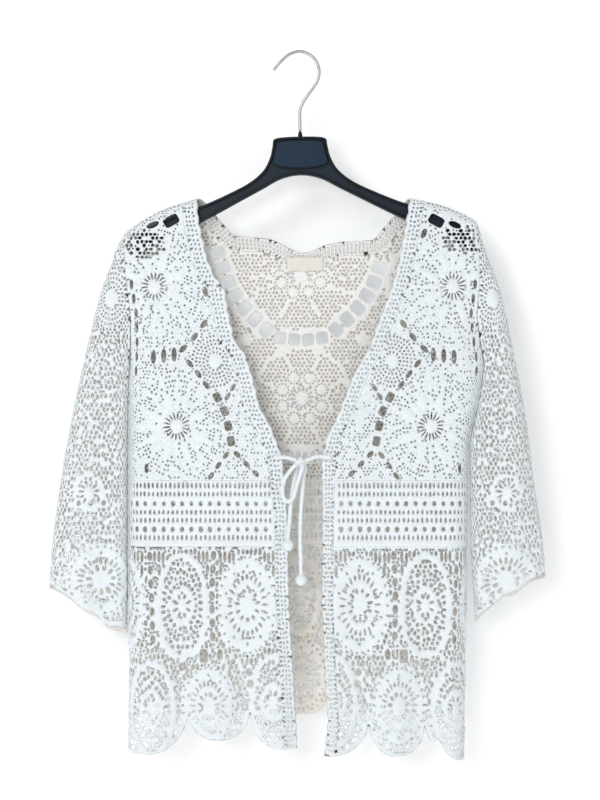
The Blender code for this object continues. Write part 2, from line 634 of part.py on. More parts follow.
def back(finish, collection):
    top_line, low_line = neck_lines()
    below = offset_line(low_line, 4 * HALF_SEAM)
    folds = {side: side_fold(side) for side in (-1, 1)}

    def ends(line):
        """Where a neck line starts and stops: at the flat shoulder line on each side."""
        runs = {}
        for side in (-1, 1):
            half = line[:3] if side < 0 else line[-3:][::-1]
            step = half[0] - half[1]
            reach = half[0] + step / np.linalg.norm(step) * 60
            curve = flat_shoulder(side)
            slope = (reach[0] - half[0][0]) / (reach[1] - half[0][1])
            runs[side] = where_meets(curve, lambda z, a=half[0], b=slope: a[0] + b * (z - a[1]))
        inner = [p for p in line if all(np.linalg.norm(p - runs[s]) > 5 for s in runs)
                 and p[1] < max(runs[-1][1], runs[1][1]) and runs[-1][0] < p[0] < runs[1][0]]
        return np.array([runs[-1], *inner, runs[1]])

    upper, lower = ends(top_line), ends(low_line)
    left = [p for p in flat_shoulder(-1) if lower[0, 0] + 3 < p[0] < upper[0, 0] - 3]
    right = [p for p in flat_shoulder(1) if upper[-1, 0] + 3 < p[0] < lower[-1, 0] - 3]
    outline = loop_of(upper, np.array([*right, lower[-1]]), lower[::-1][1:],
                      np.array(left[::-1]).reshape(-1, 2))
    ends_run = [(np.array([upper[0], *left, lower[0]]), SHOULDER_TURN),
                (np.array([upper[-1], *right, lower[-1]]), SHOULDER_TURN)]
    panel("neck_edging_back", outline, [], 1, finish, collection, spacing=60, bends=ends_run)

    neck = ends(below)
    runs = {}
    for side in (-1, 1):
        curve = flat_shoulder(side)
        start = neck[0] if side < 0 else neck[-1]
        stop = where_meets(curve, folds[side])
        between = [p for p in curve if abs(start[0]) + 4 < abs(p[0]) < abs(stop[0]) - 4]
        runs[side] = np.array([start, *between, stop])
    outline = loop_of(neck, runs[1][1:-1], down(folds[1], runs[1][-1, 1], WAIST_TOP),
                      across(folds[1](WAIST_TOP), folds[-1](WAIST_TOP), WAIST_TOP, folds),
                      down(folds[-1], WAIST_TOP, runs[-1][-1, 1]), runs[-1][::-1][1:-1])
    gaps = [gap for row in BACK_GAPS for gap in ladder(*row)]
    bends = [(runs[side], SHOULDER_TURN) for side in runs]
    bends += [(down(folds[side], ARMPIT + 60, WAIST_TOP), SIDE_TURN) for side in runs]
    panel("back_yoke", outline, gaps, 1, finish, collection, bends=bends)

    top, bottom = WAIST_TOP - 2 * HALF_SEAM, WAIST_END
    outline = loop_of(down(folds[-1], bottom, top), across(folds[-1](top), folds[1](top), top, folds),
                      down(folds[1], top, bottom), across(folds[1](bottom), folds[-1](bottom), bottom, folds))
    bends = [(down(folds[side], top - 8, bottom + 8, 12), SIDE_TURN) for side in runs]
    rounds = round_rows(folds[-1](-560) + 12, folds[1](-560) - 12)
    panel("back_waistband", outline, rounds, 1, finish, collection, bends=bends)

    top = WAIST_END - 2 * HALF_SEAM
    hem = hem_points(BACK_HEM, folds[-1](-805), folds[1](-805))
    gaps = [gap for row in BACK_PEPLUM_GAPS for gap in ladder(*row)]
    level = across(folds[1](top), folds[-1](top), top, folds)
    outline = loop_of(hem, down(folds[1], hem[-1, 1], top)[1:], level, down(folds[-1], top, hem[0, 1])[:-1])
    bends = [(down(folds[side], top, -800), SIDE_TURN) for side in runs]
    panel("back_peplum", outline, gaps, 1, finish, collection, bends=bends)


def sleeve(side, face, finish, collection):
    name = {1: "left", -1: "right"}[side] + {1: "_back", -1: "_front"}[face]
    fold = side_fold(side, True)
    curve = flat_shoulder(side)
    drop = BACK_CUFF_DROP if face > 0 else 0.0
    rows = np.array(CUFF[side], float) - (0, drop)
    order = np.argsort(rows[:, 0])

    def cuff(x):
        return np.interp(x, rows[order, 0], rows[order, 1])

    start = where_meets(curve, fold)
    outer = curve[(curve[:, 1] < start[1] - 3)]
    outer = outer[outer[:, 1] > cuff(outer[:, 0])]
    foot_out = (outer[-1, 0], cuff(outer[-1, 0]))
    outer = thinned(np.array([start, *outer, foot_out]), 9.0)
    foot_in = fold(cuff(fold(-695)))
    x = np.linspace(foot_out[0], foot_in, 15)
    hem = np.stack([x, cuff(x)], 1)
    outline = loop_of(outer[:-1], hem, down(fold, hem[-1, 1], start[1])[1:-1])
    gaps = []
    for z, count, width, height, spread in SLEEVE_GAPS:
        middle = (fold(z) + np.interp(-z, -curve[:, 1], curve[:, 0])) / 2
        gaps += [oval(middle + (i - (count - 1) / 2) * spread, z, width, height, 0, 4) for i in range(count)]
    bends = [(outer, (SHOULDER_TURN + SLEEVE_TURN) / 2), (down(fold, ARMPIT + 60, hem[-1, 1]), SIDE_TURN)]
    panel(f"sleeve_{name}", outline, gaps if face < 0 else [], face, finish, collection, side, bends=bends)


def tube(name, points, radius, finish, collection, resolution=2):
    """A round cord or wire along a POLY spline, its points read from a smooth curve."""
    data = bpy.data.curves.new(name, "CURVE")
    data.dimensions = "3D"
    data.bevel_depth = radius * MM
    data.bevel_resolution = resolution
    data.use_fill_caps = True
    spline = data.splines.new("POLY")
    spline.points.add(len(points) - 1)
    for control, point in zip(spline.points, points):
        control.co = (*(np.array(point) * MM), 1.0)
    thing = bpy.data.objects.new(name, data)
    collection.objects.link(thing)
    data.materials.append(finish)
    return thing


def ball(name, centre, size, finish, collection, segments=12, rings=8):
    bm = bmesh.new()
    bmesh.ops.create_uvsphere(bm, u_segments=segments, v_segments=rings, radius=1.0)
    bmesh.ops.scale(bm, vec=Vector(size) * MM, verts=bm.verts)
    mesh = bpy.data.meshes.new(name)
    bm.to_mesh(mesh)
    bm.free()
    mesh.shade_smooth()
    thing = add_object(name, mesh, finish, collection)
    thing.location = Vector(centre) * MM
    return thing


def from_knot(direction, gap=KNOT_GAP):
    """Two points straight out of the knot, the first just clear of it."""
    unit = np.array(direction, float) / np.linalg.norm(direction)
    reach = 1 / np.linalg.norm(unit / np.array(KNOT_SIZE)) + gap
    return [np.array(KNOT) + unit * (reach + step) for step in (0.0, 4.0)]


def tie(finish, collection):
    """The half bow at the waist: two stubs, a knot, one loop and two tails with bobbles."""
    ball("tie_knot", KNOT, KNOT_SIZE, finish, collection)
    left_bobble, right_bobble = (np.array(BOBBLES[k]) for k in ("left", "right"))
    above = np.array((0, 0, BOBBLE[2] + 0.4))
    routes = {
        "tie_cord_left": [*from_knot((1, 0.1, 0.25)), (20, -28.8, -492.3), (28, -27.8, -491.5),
                          (38, -27.6, -492.6)],
        "tie_cord_right": [*from_knot((-1, 0.1, 0.25)), (-11, -28.8, -493.2), (-18, -27.8, -492.4),
                           (-28, -27.6, -492.8)],
        "tie_loop": [*from_knot((-0.75, -0.45, -0.5), LOOP_GAP), (-10.5, -35.4, -510), (-16.5, -35.2, -520),
                     (-19, -34.6, -532), (-16.6, -34.2, -542), (-11, -34.2, -545.6), (-5.6, -34.6, -540),
                     (-2.4, -35.6, -529), (2.0, -37.6, -515),
                     *reversed(from_knot((0.15, -0.8, -0.6), LOOP_GAP))],
        "tie_tail_left": [*from_knot((0.5, 0.1, -0.85)), (7.2, -29.2, -514), (5.4, -29.1, -535),
                          (3.4, -29, -560), (2.6, -29.1, -590), (3.3, -29.3, -616),
                          tuple(left_bobble + above)],
        "tie_tail_right": [*from_knot((-0.35, 0.55, -0.75)), (-2.6, -27.8, -513), (-6, -28.2, -530),
                           (-8.6, -28.8, -550), (-10.2, -30.2, -570), (-11.7, -32.8, -583),
                           tuple(right_bobble + above)],
    }
    for name, route in routes.items():
        tube(name, smooth_curve([tuple(p) for p in route], 3), TIE_RADIUS, finish, collection)
    ball("tie_bobble_left", left_bobble, BOBBLE, finish, collection)
    ball("tie_bobble_right", right_bobble, BOBBLE, finish, collection)


def label(finish, collection):
    """A blank woven tab inside the back, just under the neckband."""
    left, right, bottom, top = LABEL
    columns, rows = 5, 3
    levels, places = np.linspace(bottom, top, rows), np.linspace(left, right, columns)
    flat = np.array([(x, z) for z in levels for x in places])
    points = drape(flat, 1)
    points[:, 1] -= WALL + 0.35
    faces = [(r * columns + c, r * columns + c + 1, (r + 1) * columns + c + 1, (r + 1) * columns + c)
             for r in range(rows - 1) for c in range(columns - 1)]
    mesh = bpy.data.meshes.new("neck_label")
    mesh.from_pydata([tuple(p * MM) for p in points], [], [tuple(reversed(f)) for f in faces])
    thing = add_object("neck_label", mesh, finish, collection)
    wall = thing.modifiers.new("wall", "SOLIDIFY")
    wall.thickness = LABEL_THICK * MM
    wall.offset = -1


def outline_solid(name, points, thickness, y, collection):
    """A flat outline in the XZ plane, extruded evenly to both sides of y, as a mesh."""
    data = bpy.data.curves.new(name, "CURVE")
    data.dimensions = "2D"
    data.fill_mode = "BOTH"
    data.extrude = thickness / 2 * MM
    spline = data.splines.new("POLY")
    spline.points.add(len(points) - 1)
    for control, (x, z) in zip(spline.points, points):
        control.co = (x * MM, z * MM, 0, 1)
    spline.use_cyclic_u = True
    curve = bpy.data.objects.new(name + "_outline", data)
    collection.objects.link(curve)
    curve.rotation_euler = Euler((math.pi / 2, 0, 0))
    curve.location.y = y * MM
    bpy.context.view_layer.update()
    mesh = bpy.data.meshes.new_from_object(curve.evaluated_get(bpy.context.evaluated_depsgraph_get()))
    bm = bmesh.new()
    bm.from_mesh(mesh)
    bmesh.ops.remove_doubles(bm, verts=bm.verts, dist=1e-6)
    bmesh.ops.recalc_face_normals(bm, faces=bm.faces)
    bm.transform(curve.matrix_world)
    bm.to_mesh(mesh)
    bm.free()
    bpy.data.objects.remove(curve)
    mesh.name = name
    return mesh


def mirrored(half):
    """A closed outline from its right half, which runs from the middle out and back to it."""
    points = [tuple(p) for p in half]
    return points + [(-x, z) for x, z in reversed(points) if x > 0.01]


def shrunk(points, distance):
    """A closed outline moved inwards."""
    points = np.array(points, float)
    along = np.roll(points, -1, axis=0) - np.roll(points, 1, axis=0)
    normal = np.stack([along[:, 1], -along[:, 0]], 1)
    normal /= np.linalg.norm(normal, axis=1)[:, None]
    area = (points[:, 0] * np.roll(points[:, 1], -1) - np.roll(points[:, 0], -1) * points[:, 1]).sum()
    return points + normal * distance * (1 if area < 0 else -1)


def hanger(finishes, collection, cutters):
    """Arms with a recessed web on each side, the plate in the middle, the ferrule and the hook."""
    lean = bpy.data.objects.new("hanger_lean", None)
    collection.objects.link(lean)
    lean.rotation_euler = Euler((0, LEAN, 0))

    outline = mirrored([*ARM_TOP, *ARM_FOOT])
    body = add_object("hanger_body", outline_solid("hanger_body", outline, ARM_THICK, 0, collection),
                      finishes["moulding"], collection)
    body.parent = lean
    pocket_line = shrunk(outline, RIM)
    pocket_depth = (ARM_THICK - WEB_THICK) / 2
    for face in (-1, 1):
        y = face * (WEB_THICK / 2 + pocket_depth / 2 + 1)
        mesh = outline_solid(f"pocket_{face}", pocket_line, pocket_depth + 2, y, cutters)
        pocket = bpy.data.objects.new(f"pocket_{face}", mesh)
        cutters.objects.link(pocket)
        pocket.hide_render = True
        pocket.display_type = "WIRE"
        pocket.parent = lean
        cut = body.modifiers.new(f"pocket_{face}", "BOOLEAN")
        cut.operation = "DIFFERENCE"
        cut.object = pocket

    plate_line = mirrored(PLATE)
    stand = ARM_THICK / 2 + PLATE_STANDS
    depth = stand - WEB_THICK / 2 - 2 * HALF_SEAM
    mesh = outline_solid("hanger_plate", plate_line, depth, -(stand - depth / 2), collection)
    add_object("hanger_plate", mesh, finishes["plate"], collection).parent = lean

    profile = bpy.data.meshes.new("hook_ferrule")
    rows = [(x * MM, 0, z * MM) for x, z in FERRULE]
    profile.from_pydata(rows, [(i, i + 1) for i in range(len(rows) - 1)], [])
    ferrule = add_object("hook_ferrule", profile, finishes["moulding"], collection)
    ferrule.location.x = HOOK[-1][0] * MM
    ferrule.parent = lean
    turn = ferrule.modifiers.new("turn", "SCREW")
    turn.steps = turn.render_steps = 16
    turn.use_merge_vertices = True
    turn.merge_threshold = 1e-5

    route = [(x, 0, z) for x, z in smooth_curve(HOOK, 2)]
    wire = tube("hanger_hook", route, HOOK_RADIUS, finishes["steel"], collection)
    wire.parent = lean


def main():
    clear_scene()
    collection = bpy.data.collections.new("crochet_cardigan")
    cutters = bpy.data.collections.new("cutters")
    for group in (collection, cutters):
        bpy.context.scene.collection.children.link(group)
    cotton = material("white cotton crochet", (0.86, 0.88, 0.88), 0.9)
    woven = material("cream woven label", (0.76, 0.72, 0.62), 0.8)
    finishes = {
        "moulding": material("black moulding", (0.012, 0.018, 0.026), 0.35),
        "plate": material("navy plate", (0.02, 0.04, 0.075), 0.4),
        "steel": material("nickelled wire", (0.62, 0.62, 0.63), 0.28, 1.0),
    }
    for side in (1, -1):
        front(side, cotton, collection)
        front_edging(side, cotton, collection)
        for face in (-1, 1):
            sleeve(side, face, cotton, collection)
    back(cotton, collection)
    tie(cotton, collection)
    label(woven, collection)
    hanger(finishes, collection, cutters)


main()
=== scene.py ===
"""The look of a white crochet cardigan on a moulded hanger.

Every panel of lace is drawn flat, as it is seen from the front, out of the gaps that the hook leaves between
the stitches. It is then draped in the same way as the part's own panels. Sizes are in millimetres unless one
says otherwise.
"""

import math

import bpy
import numpy as np
from bpy.props import FloatProperty, FloatVectorProperty, PointerProperty
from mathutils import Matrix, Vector, kdtree
from mathutils.geometry import delaunay_2d_cdt


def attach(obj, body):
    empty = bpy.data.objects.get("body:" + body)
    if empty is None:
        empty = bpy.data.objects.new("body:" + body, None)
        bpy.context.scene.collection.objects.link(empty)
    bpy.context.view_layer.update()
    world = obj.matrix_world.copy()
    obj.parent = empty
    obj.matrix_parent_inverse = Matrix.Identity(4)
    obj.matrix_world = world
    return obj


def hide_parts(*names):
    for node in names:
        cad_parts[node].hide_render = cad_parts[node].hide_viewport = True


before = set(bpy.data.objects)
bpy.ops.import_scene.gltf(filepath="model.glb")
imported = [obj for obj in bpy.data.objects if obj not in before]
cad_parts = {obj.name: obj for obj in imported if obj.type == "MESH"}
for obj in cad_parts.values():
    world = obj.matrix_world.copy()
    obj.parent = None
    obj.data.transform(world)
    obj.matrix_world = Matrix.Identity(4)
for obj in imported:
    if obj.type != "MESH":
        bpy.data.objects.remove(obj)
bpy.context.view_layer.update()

bl_info = {
    "name": "Crochet cardigan on a hanger",
    "version": (1, 0, 0),
    "blender": (4, 5, 0),
    "location": "3D View > Sidebar > Cardigan",
    "description": "Builds the crochet, tie, label and hanger of a hanging cardigan, with its studio",
    "category": "Object",
}

MM = 0.001
SIDES = ((1, "left"), (-1, "right"))

# The garment's flat shape and its drape, as in the part's own source

WALL = 2.2              # thickness of the crochet
HALF_SEAM = 0.15        # front and back stop this far short of each other
LAP = 0.7               # panels lap this far over their other seams, so that the stitches run on
AXIS = 7.0              # the garment hangs this far right of the hook

SHOULDER_TURN = 12.0    # radius of the turn over the hanger's arm
SLEEVE_TURN = 20.0      # radius of the sleeve's outer fold, low down
SIDE_TURN = 22.0        # radius of the folds at the side seam and under the arm
UNFOLD = math.pi / 2 - 1  # a quarter turn takes this share of its radius more cloth than it shows

ARMPIT = -472.0
GROOVE_TOP = -250.0     # the seam starts to sink in between body and sleeve here
WAIST_TOP = -521.0
WAIST_END = -601.0
SLEEVE_GAP = 1.2        # between the sleeve and the side of the body, at the armpit

# The shoulder line and the sleeve's outer fold, from the neck down: (x, z)
OUTLINE = {
    -1: [(-60, -163), (-122, -177), (-146, -184), (-168, -192), (-193, -206), (-212, -221), (-222, -240),
         (-229, -259), (-242, -295), (-260, -368), (-276, -442), (-289, -515), (-299, -588), (-304, -650),
         (-307, -730)],
    1: [(60, -163), (138, -177), (171, -184), (188, -190), (206, -198), (219, -208), (225, -228),
        (236, -259), (249, -295), (264, -368), (278, -442), (287, -515), (298, -588), (303, -650),
        (305, -730)],
}
# The armhole seam and, below the armpit, the side of the body: (z, x)
SEAM = {
    -1: [(-150, -209), (-246, -211), (-283, -208), (-320, -203), (-356, -203), (-400, -205), (-472, -206),
         (-700, -206), (-900, -208)],
    1: [(-150, 213), (-246, 220), (-283, 221), (-320, 217), (-345, 220), (-380, 226), (-425, 219),
        (-472, 208), (-600, 206), (-700, 205), (-900, 202)],
}
# How far the sleeve swings out from the side of the body below the armpit: (z, gap)
SWING = {-1: [(-472, 0), (-720, 0.6)], 1: [(-472, 0), (-600, 3), (-690, 9), (-730, 10)]}

# The free edge of each front, from the shoulder to the hem: (z, x)
FRONT_EDGE = {
    -1: [(-150, -124), (-205, -120), (-250, -110), (-272, -101), (-290, -88), (-320, -83), (-351, -76),
         (-368, -63), (-400, -53), (-430, -46), (-455, -32), (-492, -18), (-560, -12), (-667, -10),
         (-760, -4), (-860, 2)],
    1: [(-150, 140), (-205, 131), (-250, 123), (-280, 115), (-300, 108), (-334, 95), (-360, 86),
        (-392, 67), (-420, 56), (-445, 46), (-467, 34), (-495, 28), (-560, 29), (-667, 28),
        (-760, 32), (-808, 35), (-860, 30)],
}
# Width of the edging band across the front: (z, width)
BAND = {
    -1: [(-150, 20), (-480, 20), (-560, 17), (-860, 17)],
    1: [(-150, 20), (-480, 19), (-560, 15), (-860, 15)],
}

# The top of the back neckband, left to right: (x, z)
BACK_NECK = [
    (-113, -182), (-101, -197), (-86, -214), (-77, -222), (-51, -224), (-31, -227), (-13, -236), (4, -243.5),
    (21, -239), (34, -233), (55, -229), (91, -227), (101, -217), (112, -204), (124, -191), (131, -180),
]
NECKBAND = 18.0

# Half the garment's depth: (z, depth)
BODY_DEPTH = [
    (-150, 12), (-178, 12), (-260, 15), (-350, 20), (-450, 24), (-560, 25), (-700, 29), (-870, 33),
]
SLEEVE_DEPTH = [(-150, 12), (-178, 12), (-260, 15), (-350, 20), (-450, 24), (-560, 22), (-730, 22)]

# The scallops of the hem: (edge, edge, notch z, bottom z). A last lobe runs on round the side fold.
HEM = {
    -1: [(-260, -133, -801, -851), (-133, -58, -801, -833), (-58, 30, -803, -844)],
    1: [(-10, 86, -808, -852), (86, 154, -814, -852), (154, 170, -822, -836), (170, 262, -826, -860)],
}
BACK_HEM = [(-242 + 69 * i, -173 + 69 * i, -792, -812) for i in range(7)]
# The sleeve's hem from its outer fold in: (x, z) for the front half, and how much lower the back half hangs
CUFF = {
    -1: [(-330, -640), (-302, -647), (-280, -660), (-264, -673), (-247, -681), (-232, -697), (-207, -699),
         (-180, -699)],
    1: [(330, -626), (301, -633), (284, -640), (268, -652), (250, -658), (234, -673), (215, -685),
        (190, -690)],
}
BACK_CUFF_DROP = 9.0

# The hem's waves: amplitude at the hem, wavelength, and where a wave stands out
WAVE_DEPTH = 7.0
WAVES = {"left": (72.0, 117.0), "right": (72.0, -96.0), "back": (69.0, 3.0)}
SLEEVE_WAVE = 3.5
SLEEVE_WAVELENGTH = 56.0
SLEEVE_CREASE = 232.0

# Gaps in the fronts, measured from the garment's axis: (x, z) along each ladder, gaps, width, height, turned.
# A turned ladder has its gaps' height along the ladder, otherwise the height stands up.
YOKE_GAPS = [
    ([(146, -221), (129, -258), (119.5, -291), (108, -328)], 7, 6.5, 12.5, True),
    ([(121, -331), (134, -349), (146, -361)], 3, 6, 12, True),
    ([(157, -368), (182, -371)], 3, 6, 17, False),
    ([(138, -379), (128, -391), (118, -405)], 3, 5.5, 11.5, True),
    ([(104.5, -420), (95.5, -437), (91, -456), (88, -473)], 4, 9, 12, True),
    ([(94, -490), (103, -502), (112, -515)], 3, 5, 10, True),
    ([(80.5, -489), (69, -501), (58, -512)], 3, 5.5, 10, True),
    ([(92, -419), (85, -407), (79, -397)], 3, 5, 10.5, True),
    ([(190, -506)], 1, 5, 11, False),
    ([(153, -201), (169, -210)], 1, 12.5, 19, True),
    ([(175, -207), (192, -214)], 1, 7.5, 16, True),
]
# Gaps that follow the armhole: (z of the first, z of the last, gaps, width, height)
ARMHOLE_GAPS = (-283, -388, 7, 4.5, 12.0)
# Gaps between the ovals of the peplum, in the same form as the yoke's
PEPLUM_GAPS = [
    ([(186, -612), (184, -655), (182, -712)], 7, 6, 10.5, True),
    ([(109, -611), (111, -655), (110, -708)], 7, 6.5, 11, True),
    ([(121, -732)], 1, 10, 16, False),
    ([(101, -730)], 1, 7, 13, False),
    ([(66, -611), (55, -613)], 2, 5, 8, False),
    ([(146, -745), (141, -759)], 2, 9, 9, True),
    ([(66, -752), (65, -766)], 2, 8, 9, True),
    ([(150, -800), (149, -813)], 2, 6, 7, True),
]
# The wide gaps round the motif in the middle of the back: (x, z) as seen, gaps, width, height, turned
BACK_GAPS = [
    ([(-98, -243), (-92, -262), (-84, -284), (-70, -306), (-54, -323), (-39, -337)], 7, 17, 13.5, True),
    ([(106, -243), (100, -262), (92, -284), (78, -306), (62, -323), (47, -337)], 7, 17, 13.5, True),
    ([(-22, -347), (4, -350), (30, -347)], 4, 14, 13.5, True),
    ([(-76, -388), (-70, -402), (-66, -418)], 3, 9, 13, True),
    ([(84, -388), (78, -402), (74, -418)], 3, 9, 13, True),
    ([(-26, -492), (36, -492)], 8, 5, 10, False),
]
BACK_PEPLUM_GAPS = [([(-171 + 58 * i, -612), (-171 + 58 * i, -660)], 3, 6, 11, True) for i in range(7)]

# Gaps round the sleeve's flower, from the middle of the sleeve: (z, gaps, width, height, spread)
SLEEVE_GAPS = [(-548, 3, 5, 6.5, 15), (-600, 4, 5, 7, 13)]

# The wheels of a front: (x, z, radius, height over width), and the small one between them
WHEELS = [(181, -285.5, 50, 1.27), (153.5, -455, 52, 1.24)]
SMALL_WHEEL = (107, -376)
# The ovals of a front's peplum: (x, z, half width, half height)
ROSETTES = [(68, -671, 34, 59), (115, -792, 31, 47), (219, -670, 27, 58)]
LATTICES = [(147, -672, 31, 63), (184, -795, 30, 56), (37, -787, 28, 55)]
# The nets: (across, down, width and height of a gap, jitter, least strand, share that is webbed)
NETS = {
    "outer fold": (5.3, 4.6, 4.3, 4.3, 0.3, 0.8, 0.0),
    "back yoke": (5.15, 4.5, 2.7, 2.9, 0.75, 0.9, 0.85),
    "peplum": (5.2, 6.6, 3.6, 7.4, 0.5, 0.95, 0.0),
    "fine peplum": (4.0, 3.6, 2.3, 3.0, 0.4, 0.9, 0.0),
    "back peplum": (5.6, 6.6, 3.9, 7.0, 0.6, 0.95, 0.5),
    "fine back peplum": (4.4, 4.0, 2.5, 3.2, 0.5, 0.9, 0.8),
    "sleeve": (5.3, 5.5, 3.3, 5.6, 0.8, 0.95, 0.0),
    "fine sleeve": (4.4, 4.2, 2.1, 3.3, 0.6, 0.9, 0.0),
    "lattice": (5.6, 6.2, 3.4, 4.6, 0.9, 1.1, 0.0),
}
# Each panel's own random draws start from one of these
SEEDS = {
    "front_yoke": 11, "back_yoke": 23, "front_waist": 31, "back_waist": 37, "front_peplum": 41,
    "back_peplum": 47, "sleeve": 53, "front_edging": 61, "neck_edging": 67,
}

# Rows of the waistband from the top down: (z, spacing, width, height)
WAIST_ROWS = [
    (-526.6, 5.2, 2.4, 6.6), (-536.8, 5.2, 2.1, 5.2), (-548.6, 11.2, 4.8, 6.2), (-558.9, 5.6, 2.0, 4.6),
    (-568.6, 5.6, 2.1, 5.2), (-579.5, 11.2, 4.8, 6.2), (-589.6, 5.6, 2.2, 5.8),
]
WAIST_CORDS = (-531.9, -542.4, -554.4, -563.6, -573.4, -585.0)
WAIST_FOOT_CORD = -597.6
WAIST_MIDDLE = -560.0

# The half bow at the waist
TIE_RADIUS = 2.65
KNOT = (3.7, -30.2, -497.5)
KNOT_SIZE = (6.5, 6.5, 6.0)
KNOT_GAP = 0.5
LOOP_GAP = 0.9
BOBBLE = (7.0, 6.6, 7.4)
BOBBLES = {"left": (3.7, -29.4, -640.5), "right": (-12.2, -34.0, -598.0)}

# The hanger, drawn straight and then leant: (half width, z)
LEAN = math.radians(-1.2)
ARM_TOP = [
    (0, -102.5), (20, -103), (31.5, -105.5), (33.5, -114), (37, -128), (46, -144), (65, -159), (95, -173.5),
    (119, -183.5), (133, -188), (150, -193.5), (168, -201), (187, -210), (201, -221), (207, -232),
]
ARM_FOOT = [
    (206, -246), (196, -239), (175, -227), (150, -216), (117, -201.5), (95, -190.5), (71, -178), (46, -165),
    (24, -153.5), (0, -149),
]
ARM_THICK = 12.0
WEB_THICK = 4.0
RIM = 3.2
PLATE = [
    (0, -106.3), (17, -106.8), (27.5, -108.8), (29.5, -115), (32.5, -126.5), (32.5, -136), (18, -140.5),
    (0, -141.5),
]
PLATE_STANDS = 0.6
HOOK_RADIUS = 1.9
HOOK = [
    (-30.5, -20.5), (-25.5, -14.5), (-20, -9), (-11, -1.6), (0.6, 1.9), (10.5, -0.3), (18.5, -6),
    (23.8, -14.5), (25.4, -24), (23.2, -34), (18.2, -42), (11.8, -50.5), (6.2, -58.5), (2.2, -66), (0.8, -73),
    (0.6, -84), (0.6, -96.1),
]
FERRULE = [(0, -96.4), (2.1, -96.4), (2.7, -102.2), (0, -102.2)]

# The blank label sewn inside the back: (left, right, bottom, top), and its thickness
LABEL = (-13.4, 30.5, -265.0, -248.0)
LABEL_THICK = 0.7

# The gaps of the lace
WIDE_GAP = 8.0          # a gap larger than this both ways is squarer than an oval
LONG_GAP = 4.6          # the yarn is drawn all along the rim of a gap longer than this
SQUARE = 0.45           # how square a wide gap is: 1 is an oval, 0 a box
FAR = 99.0              # more than the size of any gap, or any distance that counts
WEB_HALF = 0.2          # half the thickness of the web that closes a small gap
CELL = 13.0             # gaps are looked up in cells of this size
# How finely a gap's rim is drawn: (corners, from this size, to this size)
RIM_CORNERS = [(6, 0, 3.4), (8, 3.4, WIDE_GAP), (16, WIDE_GAP, FAR)]

# The grid that a panel's solid stitches are drawn on
GRID = 1.0
GRID_EDGE = 6.0

# The yarn: how far it rises off the middle of the wall, and where its points lie
MEET_WITHIN = 17.0      # three gaps this close meet in a crossing
CROSSING_RISE = 0.95
RIB_RANGE = (0.5, 5.0)  # the strand between two gaps is this wide
RIM_RISE = 0.85
RIM_AWAY = 0.55
RIM_STEP = 2.1
STITCH_RISE = 1.0
STITCH_RELIEF = 0.28
ROW_SHARE = 0.86        # a row of stitches is this share of their spacing high
INNER_SHARE = 0.6       # what stands proud outside shows this much inside
OFF_MIDDLE = 0.1        # front and back keep this far from the plane between them
NEAR_OUTLINE = 60.0     # cloth further in than this doesn't turn with the shoulder or outer fold

# Painted shade: the colours the yarn is darkened to round the gaps, on webs and between plies, outside and
# inside
OUTER_PAINTED_SHADE = (0.73, 0.78, 0.80)
INNER_PAINTED_SHADE = (0.45, 0.41, 0.35)
LOW_PAINTED_SHADE = (0.74, 0.68, 0.58)

# The camera stands this far away and sees this height, in metres
CAMERA_AWAY = 2.6
FRAME_HEIGHT = 0.976
FRAME_CENTRE = (0.00244, -0.4233)
WALL_BEHIND = 0.075
FLOOR = -1.15
LIT_SPOT = (0, 0, -0.42)


def lookup(rows, z):
    """The second column of a (z, value) table, between its rows, which run downwards."""
    table = np.array(rows, float)
    return np.interp(-np.asarray(z, float), -table[:, 0], table[:, 1])


def smooth_step(low, high, value):
    """0 up to low, 1 from high on, and smooth between them."""
    share = np.clip((np.asarray(value, float) - low) / (high - low), 0, 1)
    return share * share * (3 - 2 * share)


def smooth_curve(rows, steps=5):
    """A Catmull-Rom curve through the rows, with this many points to each span."""
    knots = np.array([rows[0], *rows, rows[-1]], float)
    points = []
    for before, start, end, after in zip(knots, knots[1:], knots[2:], knots[3:]):
        for step in range(steps):
            t = step / steps
            linear = 2 * start + (end - before) * t
            square = (2 * before - 5 * start + 4 * end - after) * t * t
            cubic = (3 * start - before - 3 * end + after) * t ** 3
            points.append(0.5 * (linear + square + cubic))
    points.append(knots[-1])
    return np.array(points)


def outline_curve(side):
    """The shoulder line and outer fold of one side, as they show."""
    return smooth_curve(OUTLINE[side])


def from_outline(points, side):
    """How far inside the shoulder line and outer fold each point lies, and the direction straight in."""
    line = outline_curve(side)
    start, along = line[:-1], np.diff(line, axis=0)
    length = np.linalg.norm(along, axis=1)
    inward = np.stack([along[:, 1], -along[:, 0]], 1) * side / length[:, None]
    reach = points[:, None, :] - start[None]
    share = np.clip((reach * along[None]).sum(2) / length ** 2, 0, 1)
    away = reach - share[:, :, None] * along[None]
    distance = np.linalg.norm(away, axis=2)
    nearest = distance.argmin(1)
    pick = np.arange(len(points))
    offset = away[pick, nearest]
    depth = (offset * inward[nearest]).sum(1)
    sign = np.where(depth < 0, -1.0, 1.0)
    gap = distance[pick, nearest]
    straight = offset * sign[:, None] / np.maximum(gap, 1e-6)[:, None]
    direct = np.where(gap[:, None] > 1e-6, straight, inward[nearest])
    return gap * sign, direct


def near_outline(points, side):
    """Whether each point may lie in the turn of the shoulder or the outer fold."""
    line = outline_curve(side)
    sideways = np.interp(-points[:, 1], -line[:, 1], side * line[:, 0]) - side * points[:, 0]
    above = np.interp(side * points[:, 0], side * line[:, 0], line[:, 1]) - points[:, 1]
    return np.minimum(sideways, above) < NEAR_OUTLINE


def turn_radius(z):
    """The radius of the turn at the shoulder and the outer fold, which grows down the sleeve."""
    return SHOULDER_TURN + (SLEEVE_TURN - SHOULDER_TURN) * smooth_step(220, 420, -np.asarray(z, float))


def groove(z):
    """How far the armhole seam has sunk in: 0 on the shoulder, 1 from the armpit down."""
    return smooth_step(-GROOVE_TOP, -ARMPIT, -np.asarray(z, float))


